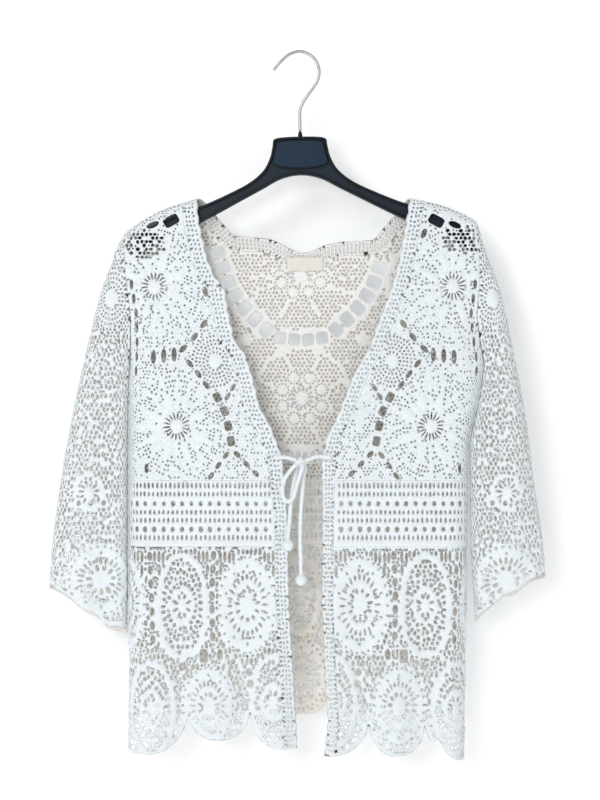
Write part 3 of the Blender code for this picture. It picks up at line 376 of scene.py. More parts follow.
def turned(depth, radius, share):
    """Where cloth lies that is depth inside a fold's line in the flat, and how far it stands out there."""
    run = depth + UNFOLD * radius * share
    angle = np.clip(run / radius, 0, math.pi / 2)
    folded = np.where(run < radius * math.pi / 2, radius * (1 - np.cos(angle)), run - UNFOLD * radius)
    return share * folded + (1 - share) * run, share * np.sin(angle) + 1 - share


def seam_x(side, z):
    """The armhole seam and the side of the body."""
    return lookup(SEAM[side], z)


def sleeve_seam_x(side, z):
    """The inner edge of the sleeve: the armhole seam, then the fold under the arm."""
    parted = SLEEVE_GAP * np.sqrt(groove(z))
    return seam_x(side, z) + side * (lookup(SWING[side], z) + parted)


def wave(name, x, z):
    """How far one of the hem's waves stands out."""
    length, crest = WAVES[name]
    return WAVE_DEPTH * smooth_step(600, 850, -z) * np.cos(2 * math.pi * (x - crest) / length)


def drape(points, face, sleeve=0):
    """Flat points (x, z) laid on the garment. face is -1 in front and 1 behind; sleeve is 0, or its side."""
    points = np.atleast_2d(np.asarray(points, float))
    place = points.copy()
    z = points[:, 1]
    share = groove(z)
    out = np.ones(len(points))
    for side in (-1, 1):
        mine = np.full(len(points), sleeve == side) if sleeve else (points[:, 0] >= 0) == (side > 0)
        if not mine.any():
            continue
        near = mine & near_outline(points, side)
        depth, inward = from_outline(points[near], side)
        moved, lift = turned(depth, turn_radius(z[near]), 1.0)
        place[near] += inward * (moved - depth)[:, None]
        out[near] = lift
        if sleeve:
            depth = side * (points[mine, 0] - sleeve_seam_x(side, z[mine]))
        else:
            depth = side * (seam_x(side, z[mine]) - points[mine, 0])
        moved, lift_seam = turned(depth, SIDE_TURN, share[mine])
        place[mine, 0] += (moved - depth) * (side if sleeve else -side)
        out[mine] *= lift_seam
    if sleeve:
        middle = SLEEVE_CREASE if face < 0 else SLEEVE_CREASE + SLEEVE_WAVELENGTH / 2
        ripple = -SLEEVE_WAVE * smooth_step(300, 430, -z) * np.cos(
            2 * math.pi * (np.abs(points[:, 0]) - middle) / SLEEVE_WAVELENGTH)
        half = lookup(SLEEVE_DEPTH, z)
    else:
        names = np.where(points[:, 0] > 0, "left", "right") if face < 0 else np.full(len(points), "back")
        ripple = np.zeros(len(points))
        for name in WAVES:
            ripple += np.where(names == name, wave(name, points[:, 0], z), 0)
        half = lookup(BODY_DEPTH, z)
    y = face * (HALF_SEAM + (half - HALF_SEAM + ripple) * out)
    return np.stack([place[:, 0], y, place[:, 1]], 1)


def flat_shoulder(side):
    """The shoulder line and outer fold as cut, which is wider than they look by the cloth in the turn."""
    line = outline_curve(side)
    along = np.gradient(line, axis=0)
    inward = np.stack([along[:, 1], -along[:, 0]], 1)
    inward /= np.linalg.norm(inward, axis=1)[:, None]
    if inward[0, 1] > 0:
        inward = -inward
    return line - inward * (UNFOLD * turn_radius(line[:, 1]))[:, None]


def side_fold(side, sleeve=False):
    """The flat edge of a panel at the seam or fold between body and sleeve, as a function of z."""
    base = sleeve_seam_x if sleeve else seam_x
    spread = -side if sleeve else side
    return lambda z: base(side, z) + spread * (UNFOLD * SIDE_TURN * groove(z) + LAP * (1 - groove(z)))


def band_inner(side):
    """The free edge of a front, as a function of z."""
    return lambda z: lookup(FRONT_EDGE[side], z)


def band_outer(side, inset=0.0):
    """The seam between a front and its edging, as a function of z."""
    return lambda z: lookup(FRONT_EDGE[side], z) + side * (lookup(BAND[side], z) + inset)


def hem_line(rows, x):
    """The scalloped hem: each lobe a broad arch between its notches."""
    x = np.asarray(x, float)
    z = np.full(x.shape, rows[0][2], float)
    for start, end, notch, bottom in rows:
        t = np.clip((2 * x - start - end) / (end - start), -1, 1)
        lobe = notch + (bottom - notch) * np.sqrt(1 - np.abs(t) ** 2.6)
        z = np.where((x >= start) & (x <= end), np.minimum(z, lobe), z)
    return z


def hem_points(rows, start, end, step):
    """Points along the hem."""
    x = np.linspace(start, end, max(2, round(abs(end - start) / step) + 1))
    return np.stack([x, hem_line(rows, x)], 1)


def where_meets(curve, x_of):
    """The point at which a curve crosses the line x = x_of(z)."""
    beyond = curve[:, 0] - x_of(curve[:, 1])
    at = int(np.argmax(np.sign(beyond[1:]) != np.sign(beyond[:-1])))
    share = beyond[at] / (beyond[at] - beyond[at + 1])
    return curve[at] + share * (curve[at + 1] - curve[at])


def shoulder_run(side, first, last):
    """The flat shoulder line from where it meets one line to where it meets another."""
    curve = flat_shoulder(side)
    start, end = where_meets(curve, first), where_meets(curve, last)
    inner = curve[(np.abs(curve[:, 0]) > abs(start[0]) + 2) & (np.abs(curve[:, 0]) < abs(end[0]) - 2)]
    return np.array([start, *inner, end])


def offset_line(points, distance):
    """The line moved to its right, seen along it, by a distance."""
    along = np.gradient(points, axis=0)
    normal = np.stack([along[:, 1], -along[:, 0]], 1)
    return points + normal / np.linalg.norm(normal, axis=1)[:, None] * distance


def neck_lines():
    """The neckband's top line and its lower line, left to right."""
    top = smooth_curve(BACK_NECK, 2)
    return top, offset_line(top, NECKBAND)


def inside(points, polygon):
    """Whether each point lies in a closed outline."""
    x, z = points[:, 0], points[:, 1]
    within = np.zeros(len(points), bool)
    for (ax, az), (bx, bz) in zip(polygon, np.roll(polygon, -1, axis=0)):
        crosses = (az > z) != (bz > z)
        within ^= crosses & (x < (bx - ax) * (z - az) / (bz - az + 1e-12) + ax)
    return within


def run_of(x_of, top, bottom, step=4.0):
    """Points down, or up, a line x = x_of(z)."""
    z = np.linspace(top, bottom, max(2, round(abs(top - bottom) / step) + 1))
    return np.stack([x_of(z), z], 1)


def level(start, end, z, step=4.0):
    """Points along a level line."""
    x = np.linspace(start, end, max(2, round(abs(end - start) / step) + 1))
    return np.stack([x, np.full(len(x), z)], 1)


def evenly(points, step):
    """A line with its points evenly spaced."""
    points = np.asarray(points, float)
    lengths = np.concatenate([[0], np.linalg.norm(np.diff(points, axis=0), axis=1).cumsum()])
    at = np.linspace(0, lengths[-1], max(2, round(lengths[-1] / step) + 1))
    return np.stack([np.interp(at, lengths, points[:, k]) for k in (0, 1)], 1)


def loop_of(*runs):
    """One closed outline from its runs, with crowded points dropped."""
    points = np.concatenate(runs)
    kept = [points[0]]
    for point in points[1:]:
        if np.linalg.norm(point - kept[-1]) > 1.2 and np.linalg.norm(point - kept[0]) > 1.2:
            kept.append(point)
    kept = np.array(kept)
    if (kept[:, 0] * np.roll(kept[:, 1], -1) - np.roll(kept[:, 0], -1) * kept[:, 1]).sum() < 0:
        kept = kept[::-1]
    return kept


def reach(gaps, towards):
    """Half of each gap's size in a direction. A small gap is an oval, and a wide one is squarer."""
    a, b = gaps[..., 2] / 2, gaps[..., 3] / 2
    c, s = np.abs(np.cos(towards - gaps[..., 4])), np.abs(np.sin(towards - gaps[..., 4]))
    power = np.where(np.minimum(a, b) > WIDE_GAP / 2, 2 / SQUARE, 2.0)
    return ((c / a) ** power + (s / b) ** power) ** (-1 / power)


def rims(gaps, corners, grow=0.0):
    """The corners of each gap: (gaps, corners, 2)."""
    angle = (np.arange(corners) + 0.5) * 2 * math.pi / corners
    square = np.where(gaps[:, 2:4].min(1) > WIDE_GAP, SQUARE, 1.0)[:, None]
    u = (gaps[:, 2:3] / 2 + grow) * np.sign(np.cos(angle)) * np.abs(np.cos(angle)) ** square
    v = (gaps[:, 3:4] / 2 + grow) * np.sign(np.sin(angle)) * np.abs(np.sin(angle)) ** square
    c, s = np.cos(gaps[:, 4:5]), np.sin(gaps[:, 4:5])
    return np.stack([gaps[:, 0:1] + u * c - v * s, gaps[:, 1:2] + u * s + v * c], 2)


def gap_rows(x, z, width, height, turn=0.0):
    """One row for each gap: its middle, width, height and turn. Each may be one number for all of them."""
    return np.stack(np.broadcast_arrays(x, z, width, height, turn), 1).astype(float)


class Lace:
    """One panel drawn flat: its outline, the stitches that lie solid and proud on it, and its gaps."""

    def __init__(self, outline, seed):
        self.outline = outline
        self.gaps = []
        self.webs = []
        self.cells = {}
        self.random = np.random.default_rng(seed)
        self.low = outline.min(0) - GRID_EDGE
        self.high = outline.max(0) + GRID_EDGE
        self.shape = tuple(np.ceil((self.high - self.low) / GRID).astype(int) + 1)
        self.depth = np.full(self.shape, GRID_EDGE)
        for start, end in zip(outline, np.roll(outline, -1, axis=0)):
            rows, columns, distance = self.beside(start, end, GRID_EDGE)
            self.depth[rows, columns] = np.minimum(self.depth[rows, columns], distance)
        _, _, points = self.patch(self.low, self.high)
        self.depth *= np.where(inside(points, outline), 1, -1).reshape(self.shape)
        self.away = np.full(self.shape, FAR)
        self.proud = np.zeros(self.shape)

    def patch(self, low, high):
        """The grid's rows and columns over a box, and their points."""
        first = np.clip(np.floor((np.asarray(low) - self.low) / GRID).astype(int), 0, self.shape)
        last = np.clip(np.ceil((np.asarray(high) - self.low) / GRID).astype(int) + 1, first, self.shape)
        x = self.low[0] + GRID * np.arange(first[0], last[0])
        z = self.low[1] + GRID * np.arange(first[1], last[1])
        points = np.stack(np.meshgrid(x, z, indexing="ij"), -1).reshape(-1, 2)
        return slice(first[0], last[0]), slice(first[1], last[1]), points

    def beside(self, start, end, reach_to):
        """The grid's rows and columns round a piece of line, and their distances from it."""
        low, high = np.minimum(start, end) - reach_to, np.maximum(start, end) + reach_to
        rows, columns, points = self.patch(low, high)
        along = end - start
        share = np.clip(((points - start) @ along) / max(along @ along, 1e-9), 0, 1)
        distance = np.linalg.norm(points - start - share[:, None] * along, axis=1)
        return rows, columns, distance.reshape(rows.stop - rows.start, columns.stop - columns.start)

    def read(self, field, points):
        """The grid's values between its points."""
        place = np.clip((points - self.low) / GRID, 0, np.array(self.shape) - 1.001)
        i, j = np.floor(place).astype(int).T
        u, v = (place - np.floor(place)).T
        return ((1 - u) * (1 - v) * field[i, j] + u * (1 - v) * field[i + 1, j]
                + (1 - u) * v * field[i, j + 1] + u * v * field[i + 1, j + 1])

    def raise_grid(self, rows, columns, away, proud, keep):
        """Adds stitches to the grid: how proud they are, and how far off what has to stay whole."""
        self.proud[rows, columns] = np.maximum(self.proud[rows, columns], proud)
        if keep:
            self.away[rows, columns] = np.minimum(self.away[rows, columns], away)

    def solid(self, x, z, half_width, half_height, rise, turn=0.0, keep=True):
        """An oval of dense stitches that stands proud. keep says that no gap is cut in it."""
        around = max(half_width, half_height) + GRID_EDGE
        rows, columns, points = self.patch((x - around, z - around), (x + around, z + around))
        dx, dz = points[:, 0] - x, points[:, 1] - z
        c, s = math.cos(turn), math.sin(turn)
        ratio = np.hypot((dx * c + dz * s) / half_width, (dz * c - dx * s) / half_height)
        ratio = ratio.reshape(self.proud[rows, columns].shape)
        proud = rise * np.sqrt(np.clip(1 - ratio ** 2, 0, 1))
        self.raise_grid(rows, columns, (ratio - 1) * min(half_width, half_height), proud, keep)

    def strip(self, points, half, rise, keep=True):
        """A cord of dense stitches along a line."""
        line = np.asarray(points, float)
        for start, end in zip(line[:-1], line[1:]):
            rows, columns, distance = self.beside(start, end, half + GRID_EDGE)
            proud = rise * np.sqrt(np.clip(1 - (distance / half) ** 2, 0, 1))
            self.raise_grid(rows, columns, distance - half, proud, keep)

    def cut(self, rows, rib=1.2, edge=1.5, clear=0.4, webbed=0.0):
        """Cuts the gaps that lie on the panel, clear of what is solid and of the gaps cut before them.

        webbed is the share of them that a sunk web closes, where the yarn is too dense to see through.
        Each web takes the yarn's painted shade in full, so that it shows as a shaded hole.
        """
        rows = np.asarray(rows, float).reshape(-1, 5)
        rows = rows[self.read(self.depth, rows[:, :2]) > 0]
        if not len(rows):
            return
        flat = rims(rows, 8).reshape(-1, 2)
        fits = (self.read(self.depth, flat) > edge) & (self.read(self.away, flat) > clear)
        for row in rows[fits.reshape(-1, 8).all(1)]:
            self.cut_one(row, rib, webbed > 0 and self.random.random() < webbed)

    def cut_one(self, row, rib, web):
        """Cuts one gap if it leaves a strand of this width between it and each gap near it."""
        cell = (int(row[0] // CELL), int(row[1] // CELL))
        for i in (-1, 0, 1):
            for j in (-1, 0, 1):
                for other in self.cells.get((cell[0] + i, cell[1] + j), ()):
                    dx, dz = other[0] - row[0], other[1] - row[1]
                    distance = math.hypot(dx, dz)
                    if distance > 2 * CELL:
                        continue
                    towards = math.atan2(dz, dx)
                    if distance - reach(row, towards) - reach(other, towards) < rib:
                        return
        self.cells.setdefault(cell, []).append(row)
        self.gaps.append(row)
        self.webs.append(web)

    def net(self, across, down, width, height, jitter, rib, webbed=0.0, where=None):
        """An even net of gaps over what is left of the panel, each row shifted by half a mesh."""
        low, high = self.outline.min(0), self.outline.max(0)
        rows = []
        for j, z in enumerate(np.arange(low[1], high[1], down)):
            for x in np.arange(low[0] + (j % 2) * across / 2, high[0], across):
                rows.append((x, z, width, height, 0.0))
        rows = np.array(rows)
        rows[:, :2] += self.random.uniform(-jitter, jitter, (len(rows), 2))
        rows[:, 2:4] *= self.random.uniform(0.74, 1.22, (len(rows), 2))
        rows[:, 4] += self.random.uniform(-0.25, 0.25, len(rows))
        if where is not None:
            rows = rows[where(rows[:, 0], rows[:, 1])]
        self.cut(rows, rib, webbed=webbed)

    def ladder(self, path, count, width, height, along, flip=1, shift=0.0):
        """Gaps spaced evenly along a path, which the gaps' height follows if along is true."""
        path = np.array(path, float)
        path[:, 0] = path[:, 0] * flip + shift
        rows = []
        if len(path) == 1:
            rows.append((*path[0], width, height, 0.0))
        else:
            lengths = np.concatenate([[0], np.linalg.norm(np.diff(path, axis=0), axis=1).cumsum()])
            for at in np.linspace(0, lengths[-1], count) if count > 1 else [lengths[-1] / 2]:
                x, z = (np.interp(at, lengths, path[:, k]) for k in (0, 1))
                dx, dz = (np.interp(at + 1, lengths, path[:, k]) - np.interp(at - 1, lengths, path[:, k])
                          for k in (0, 1))
                rows.append((x, z, width, height, math.atan2(dz, dx) + math.pi / 2 if along else 0.0))
        self.cut(rows)

    def around(self, centre, radius, count, width, height, phase=0.0, stretch=1.0, rib=1.0, jitter=0.0,
               webbed=0.0):
        """A ring of gaps that point at its centre. stretch is the ring's height over its width."""
        rows = []
        for i in range(count):
            angle = 2 * math.pi * (i + phase) / count
            x, z = radius * math.cos(angle), radius * stretch * math.sin(angle)
            rows.append((centre[0] + x, centre[1] + z, width, height, math.atan2(z, x) - math.pi / 2))
        rows = np.array(rows)
        rows[:, :2] += self.random.uniform(-jitter, jitter, (len(rows), 2))
        rows[:, 2:4] *= self.random.uniform(0.8, 1.2, (len(rows), 2))
        self.cut(rows, rib, webbed=webbed)

    def ring(self, centre, radius, stretch, half, rise, keep=True):
        """A cord of stitches round a centre."""
        angle = np.linspace(0, 2 * math.pi, 49)
        line = np.stack([centre[0] + radius * np.cos(angle), centre[1] + radius * stretch * np.sin(angle)], 1)
        self.strip(line, half, rise, keep)

    def yarn(self, pitch):
        """(points, heights) of the yarn: where gaps meet, between two gaps, and in rows on what is solid."""
        gaps = np.array(self.gaps).reshape(-1, 5)
        points, heights = [np.zeros((0, 2))], [np.zeros(0)]
        if len(gaps) > 3:
            centres = [Vector(row[:2]) for row in gaps]
            faces = np.array(delaunay_2d_cdt(centres, [], [], 0, 1e-5)[2])
            a, b, c = (gaps[faces[:, k]] for k in range(3))
            middle = (a[:, :2] + b[:, :2] + c[:, :2]) / 3
            near = max_side(a, b, c) < MEET_WITHIN
            points.append(middle[near])
            heights.append(np.full(near.sum(), CROSSING_RISE))
            sides = np.concatenate([faces[:, [0, 1]], faces[:, [1, 2]], faces[:, [0, 2]]])
            pairs = np.unique(np.sort(sides, axis=1), axis=0)
            a, b = gaps[pairs[:, 0]], gaps[pairs[:, 1]]
            step = b[:, :2] - a[:, :2]
            distance = np.linalg.norm(step, axis=1)
            towards = np.arctan2(step[:, 1], step[:, 0])
            first = reach(a, towards)
            rib = distance - first - reach(b, towards)
            near = (rib > RIB_RANGE[0]) & (rib < RIB_RANGE[1])
            share = ((first + rib / 2) / distance)[near, None]
            points.append(a[near, :2] + step[near] * share)
            heights.append(np.clip(0.3 + 0.35 * rib[near], 0.5, 1.0))
        for gap in gaps[gaps[:, 2:4].max(1) > LONG_GAP] if len(gaps) else ():
            rim = evenly(rims(gap[None], 24, RIM_AWAY)[0][[*range(24), 0]], RIM_STEP)[:-1]
            points.append(rim)
            heights.append(np.full(len(rim), RIM_RISE))
        points, heights = np.concatenate(points), np.concatenate(heights)
        keep = (self.read(self.depth, points) > 0.5) & (apart_from_gaps(points, gaps) > 0.3)
        points, heights = thin(points[keep], heights[keep], 0.9)

        rows, tops = [], []
        low, high = self.low, self.high
        for j, z in enumerate(np.arange(low[1], high[1], pitch * ROW_SHARE)):
            x = np.arange(low[0] + (j % 2) * pitch / 2, high[0], pitch)
            rows.append(np.stack([x, np.full(len(x), z)], 1))
            tops.append(STITCH_RISE + STITCH_RELIEF * np.where((np.arange(len(x)) + j // 2) % 2, 1, -1))
        rows, tops = np.concatenate(rows), np.concatenate(tops)
        rows += self.random.uniform(-0.25, 0.25, rows.shape)
        keep = self.read(self.depth, rows) > 0.9
        rows, tops = rows[keep], tops[keep]
        keep = apart_from_gaps(rows, gaps) > 0.7
        rows, tops = rows[keep], tops[keep]
        if len(points):
            tree = kdtree.KDTree(len(points))
            for i, point in enumerate(points):
                tree.insert((point[0], point[1], 0), i)
            tree.balance()
            keep = np.array([tree.find((x, z, 0))[2] > 1.35 for x, z in rows], bool)
            rows, tops = rows[keep], tops[keep]
        return np.concatenate([points, rows]), np.concatenate([heights, tops])


def max_side(a, b, c):
    """The longest side of each triangle of gaps."""
    sides = [np.linalg.norm(p[:, :2] - q[:, :2], axis=1) for p, q in ((a, b), (b, c), (c, a))]
    return np.max(sides, axis=0)


def apart_from_gaps(points, gaps):
    """How far each point lies from the nearest gap's rim, about."""
    if not len(gaps) or not len(points):
        return np.full(len(points), FAR)
    tree = kdtree.KDTree(len(gaps))
    for i, gap in enumerate(gaps):
        tree.insert((gap[0], gap[1], 0), i)
    tree.balance()
    count = min(5, len(gaps))
    near = np.array([[found[1] for found in tree.find_n((x, z, 0), count)] for x, z in points])
    others = gaps[near]
    step = points[:, None] - others[:, :, :2]
    distance = np.linalg.norm(step, axis=2)
    apart = (distance - reach(others, np.arctan2(step[:, :, 1], step[:, :, 0]))).min(1)
    for gap in gaps[gaps[:, 2:4].max(1) > LONG_GAP]:
        close = np.flatnonzero(np.abs(points - gap[:2]).max(1) < gap[2:4].max())
        dx, dz = (points[close] - gap[:2]).T
        apart[close] = np.minimum(apart[close], np.hypot(dx, dz) - reach(gap, np.arctan2(dz, dx)))
    return apart


def thin(points, heights, least):
    """Drops points that share a small cell with one kept before them."""
    cells = np.round(points / least).astype(int)
    _, first = np.unique(cells, axis=0, return_index=True)
    first.sort()
    return points[first], heights[first]


def surface(flat, face, sleeve):
    """The middle of the cloth's wall under each flat point, and the way out of the cloth there."""
    step = 0.6
    across = drape(flat + (step, 0), face, sleeve) - drape(flat - (step, 0), face, sleeve)
    up = drape(flat + (0, step), face, sleeve) - drape(flat - (0, step), face, sleeve)
    normal = -face * np.cross(across, up)
    normal /= np.linalg.norm(normal, axis=1)[:, None]
    return drape(flat, face, sleeve) - normal * WALL / 2, normal


def lace_object(name, lace, face, finishes, sleeve, pitch):
    """Triangulates the cloth between the gaps, drapes it, and lifts the yarn off the middle of its wall."""
    gaps = np.array(lace.gaps).reshape(-1, 5)
    nodes, heights = lace.yarn(pitch)
    size = gaps[:, 2:4].max(1) if len(gaps) else np.zeros(0)
    webs = np.array(lace.webs, bool)
    rings, webbed = [], [np.zeros(1, bool)]
    for corners, low, high in RIM_CORNERS:
        chosen = (size >= low) & (size < high)
        rings += list(rims(gaps[chosen], corners))
        webbed.append(webs[chosen])
    webbed = np.concatenate(webbed)
    points, edges, owner = [], [], []
    for number, ring in enumerate([lace.outline, *rings]):
        base = len(points)
        points += [Vector(p) for p in ring]
        owner += [number] * len(ring)
        edges += [(base + i, base + (i + 1) % len(ring)) for i in range(len(ring))]
    points += [Vector(p) for p in nodes]
    owner += [-1] * len(nodes)
    flat, _, faces, origins, _, _ = delaunay_2d_cdt(points, edges, [], 1, 1e-5)
    flat = np.array([(p.x, p.y) for p in flat])
    faces = np.array(faces)
    source = np.array([min(origin) if origin else -1 for origin in origins])
    owners = np.where(source >= 0, np.array(owner)[source], -1)
    mine = owners[faces]
    hole = (mine[:, 0] > 0) & (mine[:, 0] == mine[:, 1]) & (mine[:, 1] == mine[:, 2])
    hole &= ~webbed[np.maximum(mine[:, 0], 0)]
    faces = faces[~hole]
    if face > 0:
        faces = faces[:, ::-1]

    middle, normal = surface(flat, face, sleeve)
    lift = np.where(webbed[np.maximum(owners, 0)], WEB_HALF, 0.0)
    on_yarn = (owners == -1) & (source >= 0)
    proud = lace.read(lace.proud, flat[on_yarn])
    lift[on_yarn] = heights[source[on_yarn] - (len(points) - len(nodes))]
    outer_lift = lift.copy()
    outer_lift[on_yarn] += proud
    inner_lift = lift.copy()
    inner_lift[on_yarn] += INNER_SHARE * proud
    outer = middle + normal * outer_lift[:, None]
    inner = middle - normal * inner_lift[:, None]
    for side in (outer, inner):
        side[:, 1] = face * np.maximum(face * side[:, 1], OFF_MIDDLE)
    shared = np.flatnonzero(lift == 0)
    second = np.arange(len(flat)) + len(flat)
    second[shared] = shared
    vertices = np.concatenate([outer, inner])
    triangles = np.concatenate([faces, second[faces][:, ::-1]])
    used, compact = np.unique(triangles, return_inverse=True)
    mesh = bpy.data.meshes.new(name)
    triangles = compact.reshape(-1, 3)
    mesh.vertices.add(len(used))
    mesh.vertices.foreach_set("co", (vertices[used] * MM).ravel())
    mesh.loops.add(triangles.size)
    mesh.loops.foreach_set("vertex_index", triangles.ravel().astype(np.int32))
    mesh.polygons.add(len(triangles))
    mesh.polygons.foreach_set("loop_start", np.arange(0, triangles.size, 3, dtype=np.int32))
    mesh.polygons.foreach_set("use_smooth", np.ones(len(triangles), bool))
    mesh.polygons.foreach_set("material_index", np.repeat([0, 1], len(faces)).astype(np.int32))
    # Painted shade: rim, edge and web points are marked so that the cotton darkens them fully, as shaded
    # hollows
    sunk = mesh.attributes.new("sunk", "FLOAT", "POINT")
    sunk.data.foreach_set("value", np.tile(lift <= WEB_HALF, 2)[used].astype(np.float32))
    mesh.update(calc_edges=True)
    for finish in finishes:
        mesh.materials.append(finish)
    return add_object(name, mesh)


def add_object(name, data):
    """A new object of the scene from a mesh, a curve, a camera or a light."""
    thing = bpy.data.objects.new(name, data)
    bpy.context.scene.collection.objects.link(thing)
    return thing


def smooth_object(name, points, faces):
    """A smooth-shaded object from points in metres."""
    mesh = bpy.data.meshes.new(name)
    mesh.from_pydata([tuple(p) for p in points], [], faces)
    mesh.polygons.foreach_set("use_smooth", np.ones(len(mesh.polygons), bool))
    return add_object(name, mesh)


def place(thing, slot, *nodes):
    """Puts a piece on the part in place of its plain solids."""
    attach(thing, "root")
    if nodes:
        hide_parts(*nodes)
    return thing


def hang(lace):
    """Picks out a panel's gaps that no web closes, and does nothing more with them."""
    gaps = np.array(lace.gaps).reshape(-1, 5)
    gaps = gaps[~np.array(lace.webs, bool)]


# The motifs

def wheel(lace, centre, radius, stretch, mesh=4.2, bead=1.55, phase=0.5):
    """A round motif: a disc, a ring of slits, eight leaves, and a fine mesh between thin spokes."""
    x, z = centre
    leaves, leaf_ring = 8, 28

    def grow(r):
        return 1 + (stretch - 1) * min(1.0, r / radius)

    lace.solid(x, z, 6.0, 6.0, 1.0)
    for i in range(leaves):
        angle = 2 * math.pi * (i + phase) / leaves
        px, pz = leaf_ring * math.cos(angle), leaf_ring * grow(leaf_ring) * math.sin(angle)
        lace.solid(x + px, z + pz, 4.3, 8.5, 0.9, math.atan2(pz, px) - math.pi / 2)
    for i in range(2 * leaves):
        angle = 2 * math.pi * (i + 2 * phase) / (2 * leaves)
        inner = 20 if i % 2 else 37
        ends = [(x + r * math.cos(angle), z + r * grow(r) * math.sin(angle)) for r in (inner, radius)]
        lace.strip(ends, 0.8, 0.5)
    lace.around(centre, 12.0, 18, 1.6, 8.0, 0.25, grow(12))
    lace.around(centre, 20.5, leaves, 1.8, 4.5, phase + 0.5, grow(20))
    for r in np.arange(24.5, radius + 6, mesh):
        count = int(2 * math.pi * r * (1 + grow(r)) / 2 / mesh)
        lace.around(centre, r, count, bead, bead * 1.3, (r / mesh * 1.6) % 1, grow(r), 0.9, 0.55, webbed=0.4)


def fan(lace, centre, radius, stretch, petals, rim=True):
    """A round motif of the back: a small disc in a ring of slits, and round petals in a net of small gaps."""
    x, z = centre
    petal_ring = 26

    def spot(r, angle):
        return x + r * math.cos(angle), z + r * stretch * math.sin(angle)

    lace.solid(x, z, 6.2, 6.2, 0.9)
    for angle in petals:
        lace.solid(*spot(petal_ring, angle), 5.6, 5.6, 0.8)
        lace.around(spot(petal_ring, angle), 7.6, 12, 1.9, 2.0, webbed=0.8)
        lace.strip([spot(31, angle), spot(radius, angle)], 0.5, 0.3)
    lace.around(centre, 11.6, 14, 2.2, 6.5, 0.25, 1.0)
    if rim:
        lace.ring(centre, radius, stretch, 1.2, 0.6)


def rosette(lace, centre, half_width, half_height):
    """An oval flower: a disc, a ring of gaps, a solid ring, a ring of slits, and a border of ten shells.

    The numbers are shares of its half width.
    """
    stretch = half_height / half_width
    x, z = centre
    inner = 1 + 0.55 * (stretch - 1)
    lace.around(centre, 0.36 * half_width, 11, 0.10 * half_width, 0.17 * half_width, 0.3, inner * 1.02, 0.8)
    lace.around(centre, 0.62 * half_width, 24, 0.075 * half_width, 0.20 * half_width, 0.1, stretch * 0.93,
                0.8)
    lace.solid(x, z, 0.22 * half_width, 0.22 * half_width * inner, 1.0)
    lace.ring(centre, 0.49 * half_width, stretch * 0.90, 0.06 * half_width, 0.8)
    for i in range(10):
        angle = 2 * math.pi * (i + 0.5) / 10
        px, pz = 0.87 * half_width * math.cos(angle), 0.88 * half_height * math.sin(angle)
        turn = math.atan2(pz, px) - math.pi / 2
        lace.solid(x + px, z + pz, 0.25 * half_width, 0.13 * half_width, 1.6, turn, False)
        lace.cut([(x + 0.9 * px, z + 0.9 * pz, 1.3, 2.4, turn)], 0.8)
    lace.around(centre, 0.985 * half_width, 30, 0.04 * half_width, 0.05 * half_width, 0.0, stretch, 0.8)
    lace.ring(centre, 0.86 * half_width, stretch, 0.17 * half_width, 0.4)


def lattice(lace, centre, half_width, half_height, mesh=6.0):
    """An oval of net with a smooth corded rim and a small flower in the middle."""
    stretch = half_height / half_width
    x, z = centre
    lace.ring(centre, half_width - 2.0, (half_height - 2.0) / (half_width - 2.0), 2.0, 1.2)
    lace.solid(x, z, 3.6, 5.0, 0.7)
    lace.around(centre, 8.2, 8, 3.2, 6.4, 0.5, 1.45)
    lace.ring(centre, 13.2, 1.5, 1.3, 0.7)
    for i, r in enumerate(np.arange(16.5, half_width - 5, 5.6)):
        grow = 1.5 + (stretch - 1.5) * (i + 1) / 3
        count = int(2 * math.pi * r * (1 + grow) / 2 / mesh)
        lace.around(centre, r, count, 3.8, 5.0, (i * 0.5) % 1, grow, 1.0, 0.7)
    inside_rim = within_oval(x, z, half_width - 5, half_height - 5)
    lace.net(*NETS["lattice"], where=inside_rim)


def within_oval(x, z, half_width, half_height):
    """A test of whether points lie in an oval."""
    return lambda gap_x, gap_z: np.hypot((gap_x - x) / half_width, (gap_z - z) / half_height) < 1


def dots_along(lace, line_of, top, bottom, pitch=5.6, width=1.25, height=1.8):
    """A row of small holes down a band."""
    z = np.arange(bottom, top, pitch)
    z = z + lace.random.uniform(-0.9, 0.9, len(z))
    rows = gap_rows(line_of(z), z, width, height)
    rows[:, 0] += lace.random.uniform(-0.7, 0.7, len(z))
    rows[:, 2:4] *= lace.random.uniform(0.8, 1.35, (len(z), 2))
    lace.cut(rows, 0.7, 0.9)


# The panels

def front_lines(side):
    """The line that each front shares with its edging, its side fold, and its run of the shoulder."""
    edge = band_outer(side, -2 * LAP)
    fold = side_fold(side)
    return edge, fold, shoulder_run(side, edge, fold)


def fill(lace, settings):
    """The fine net over what is left of a front's yoke."""
    lace.net(settings.mesh, settings.mesh * 0.9, 1.5, 2.0, 0.8, 0.9, 0.6)


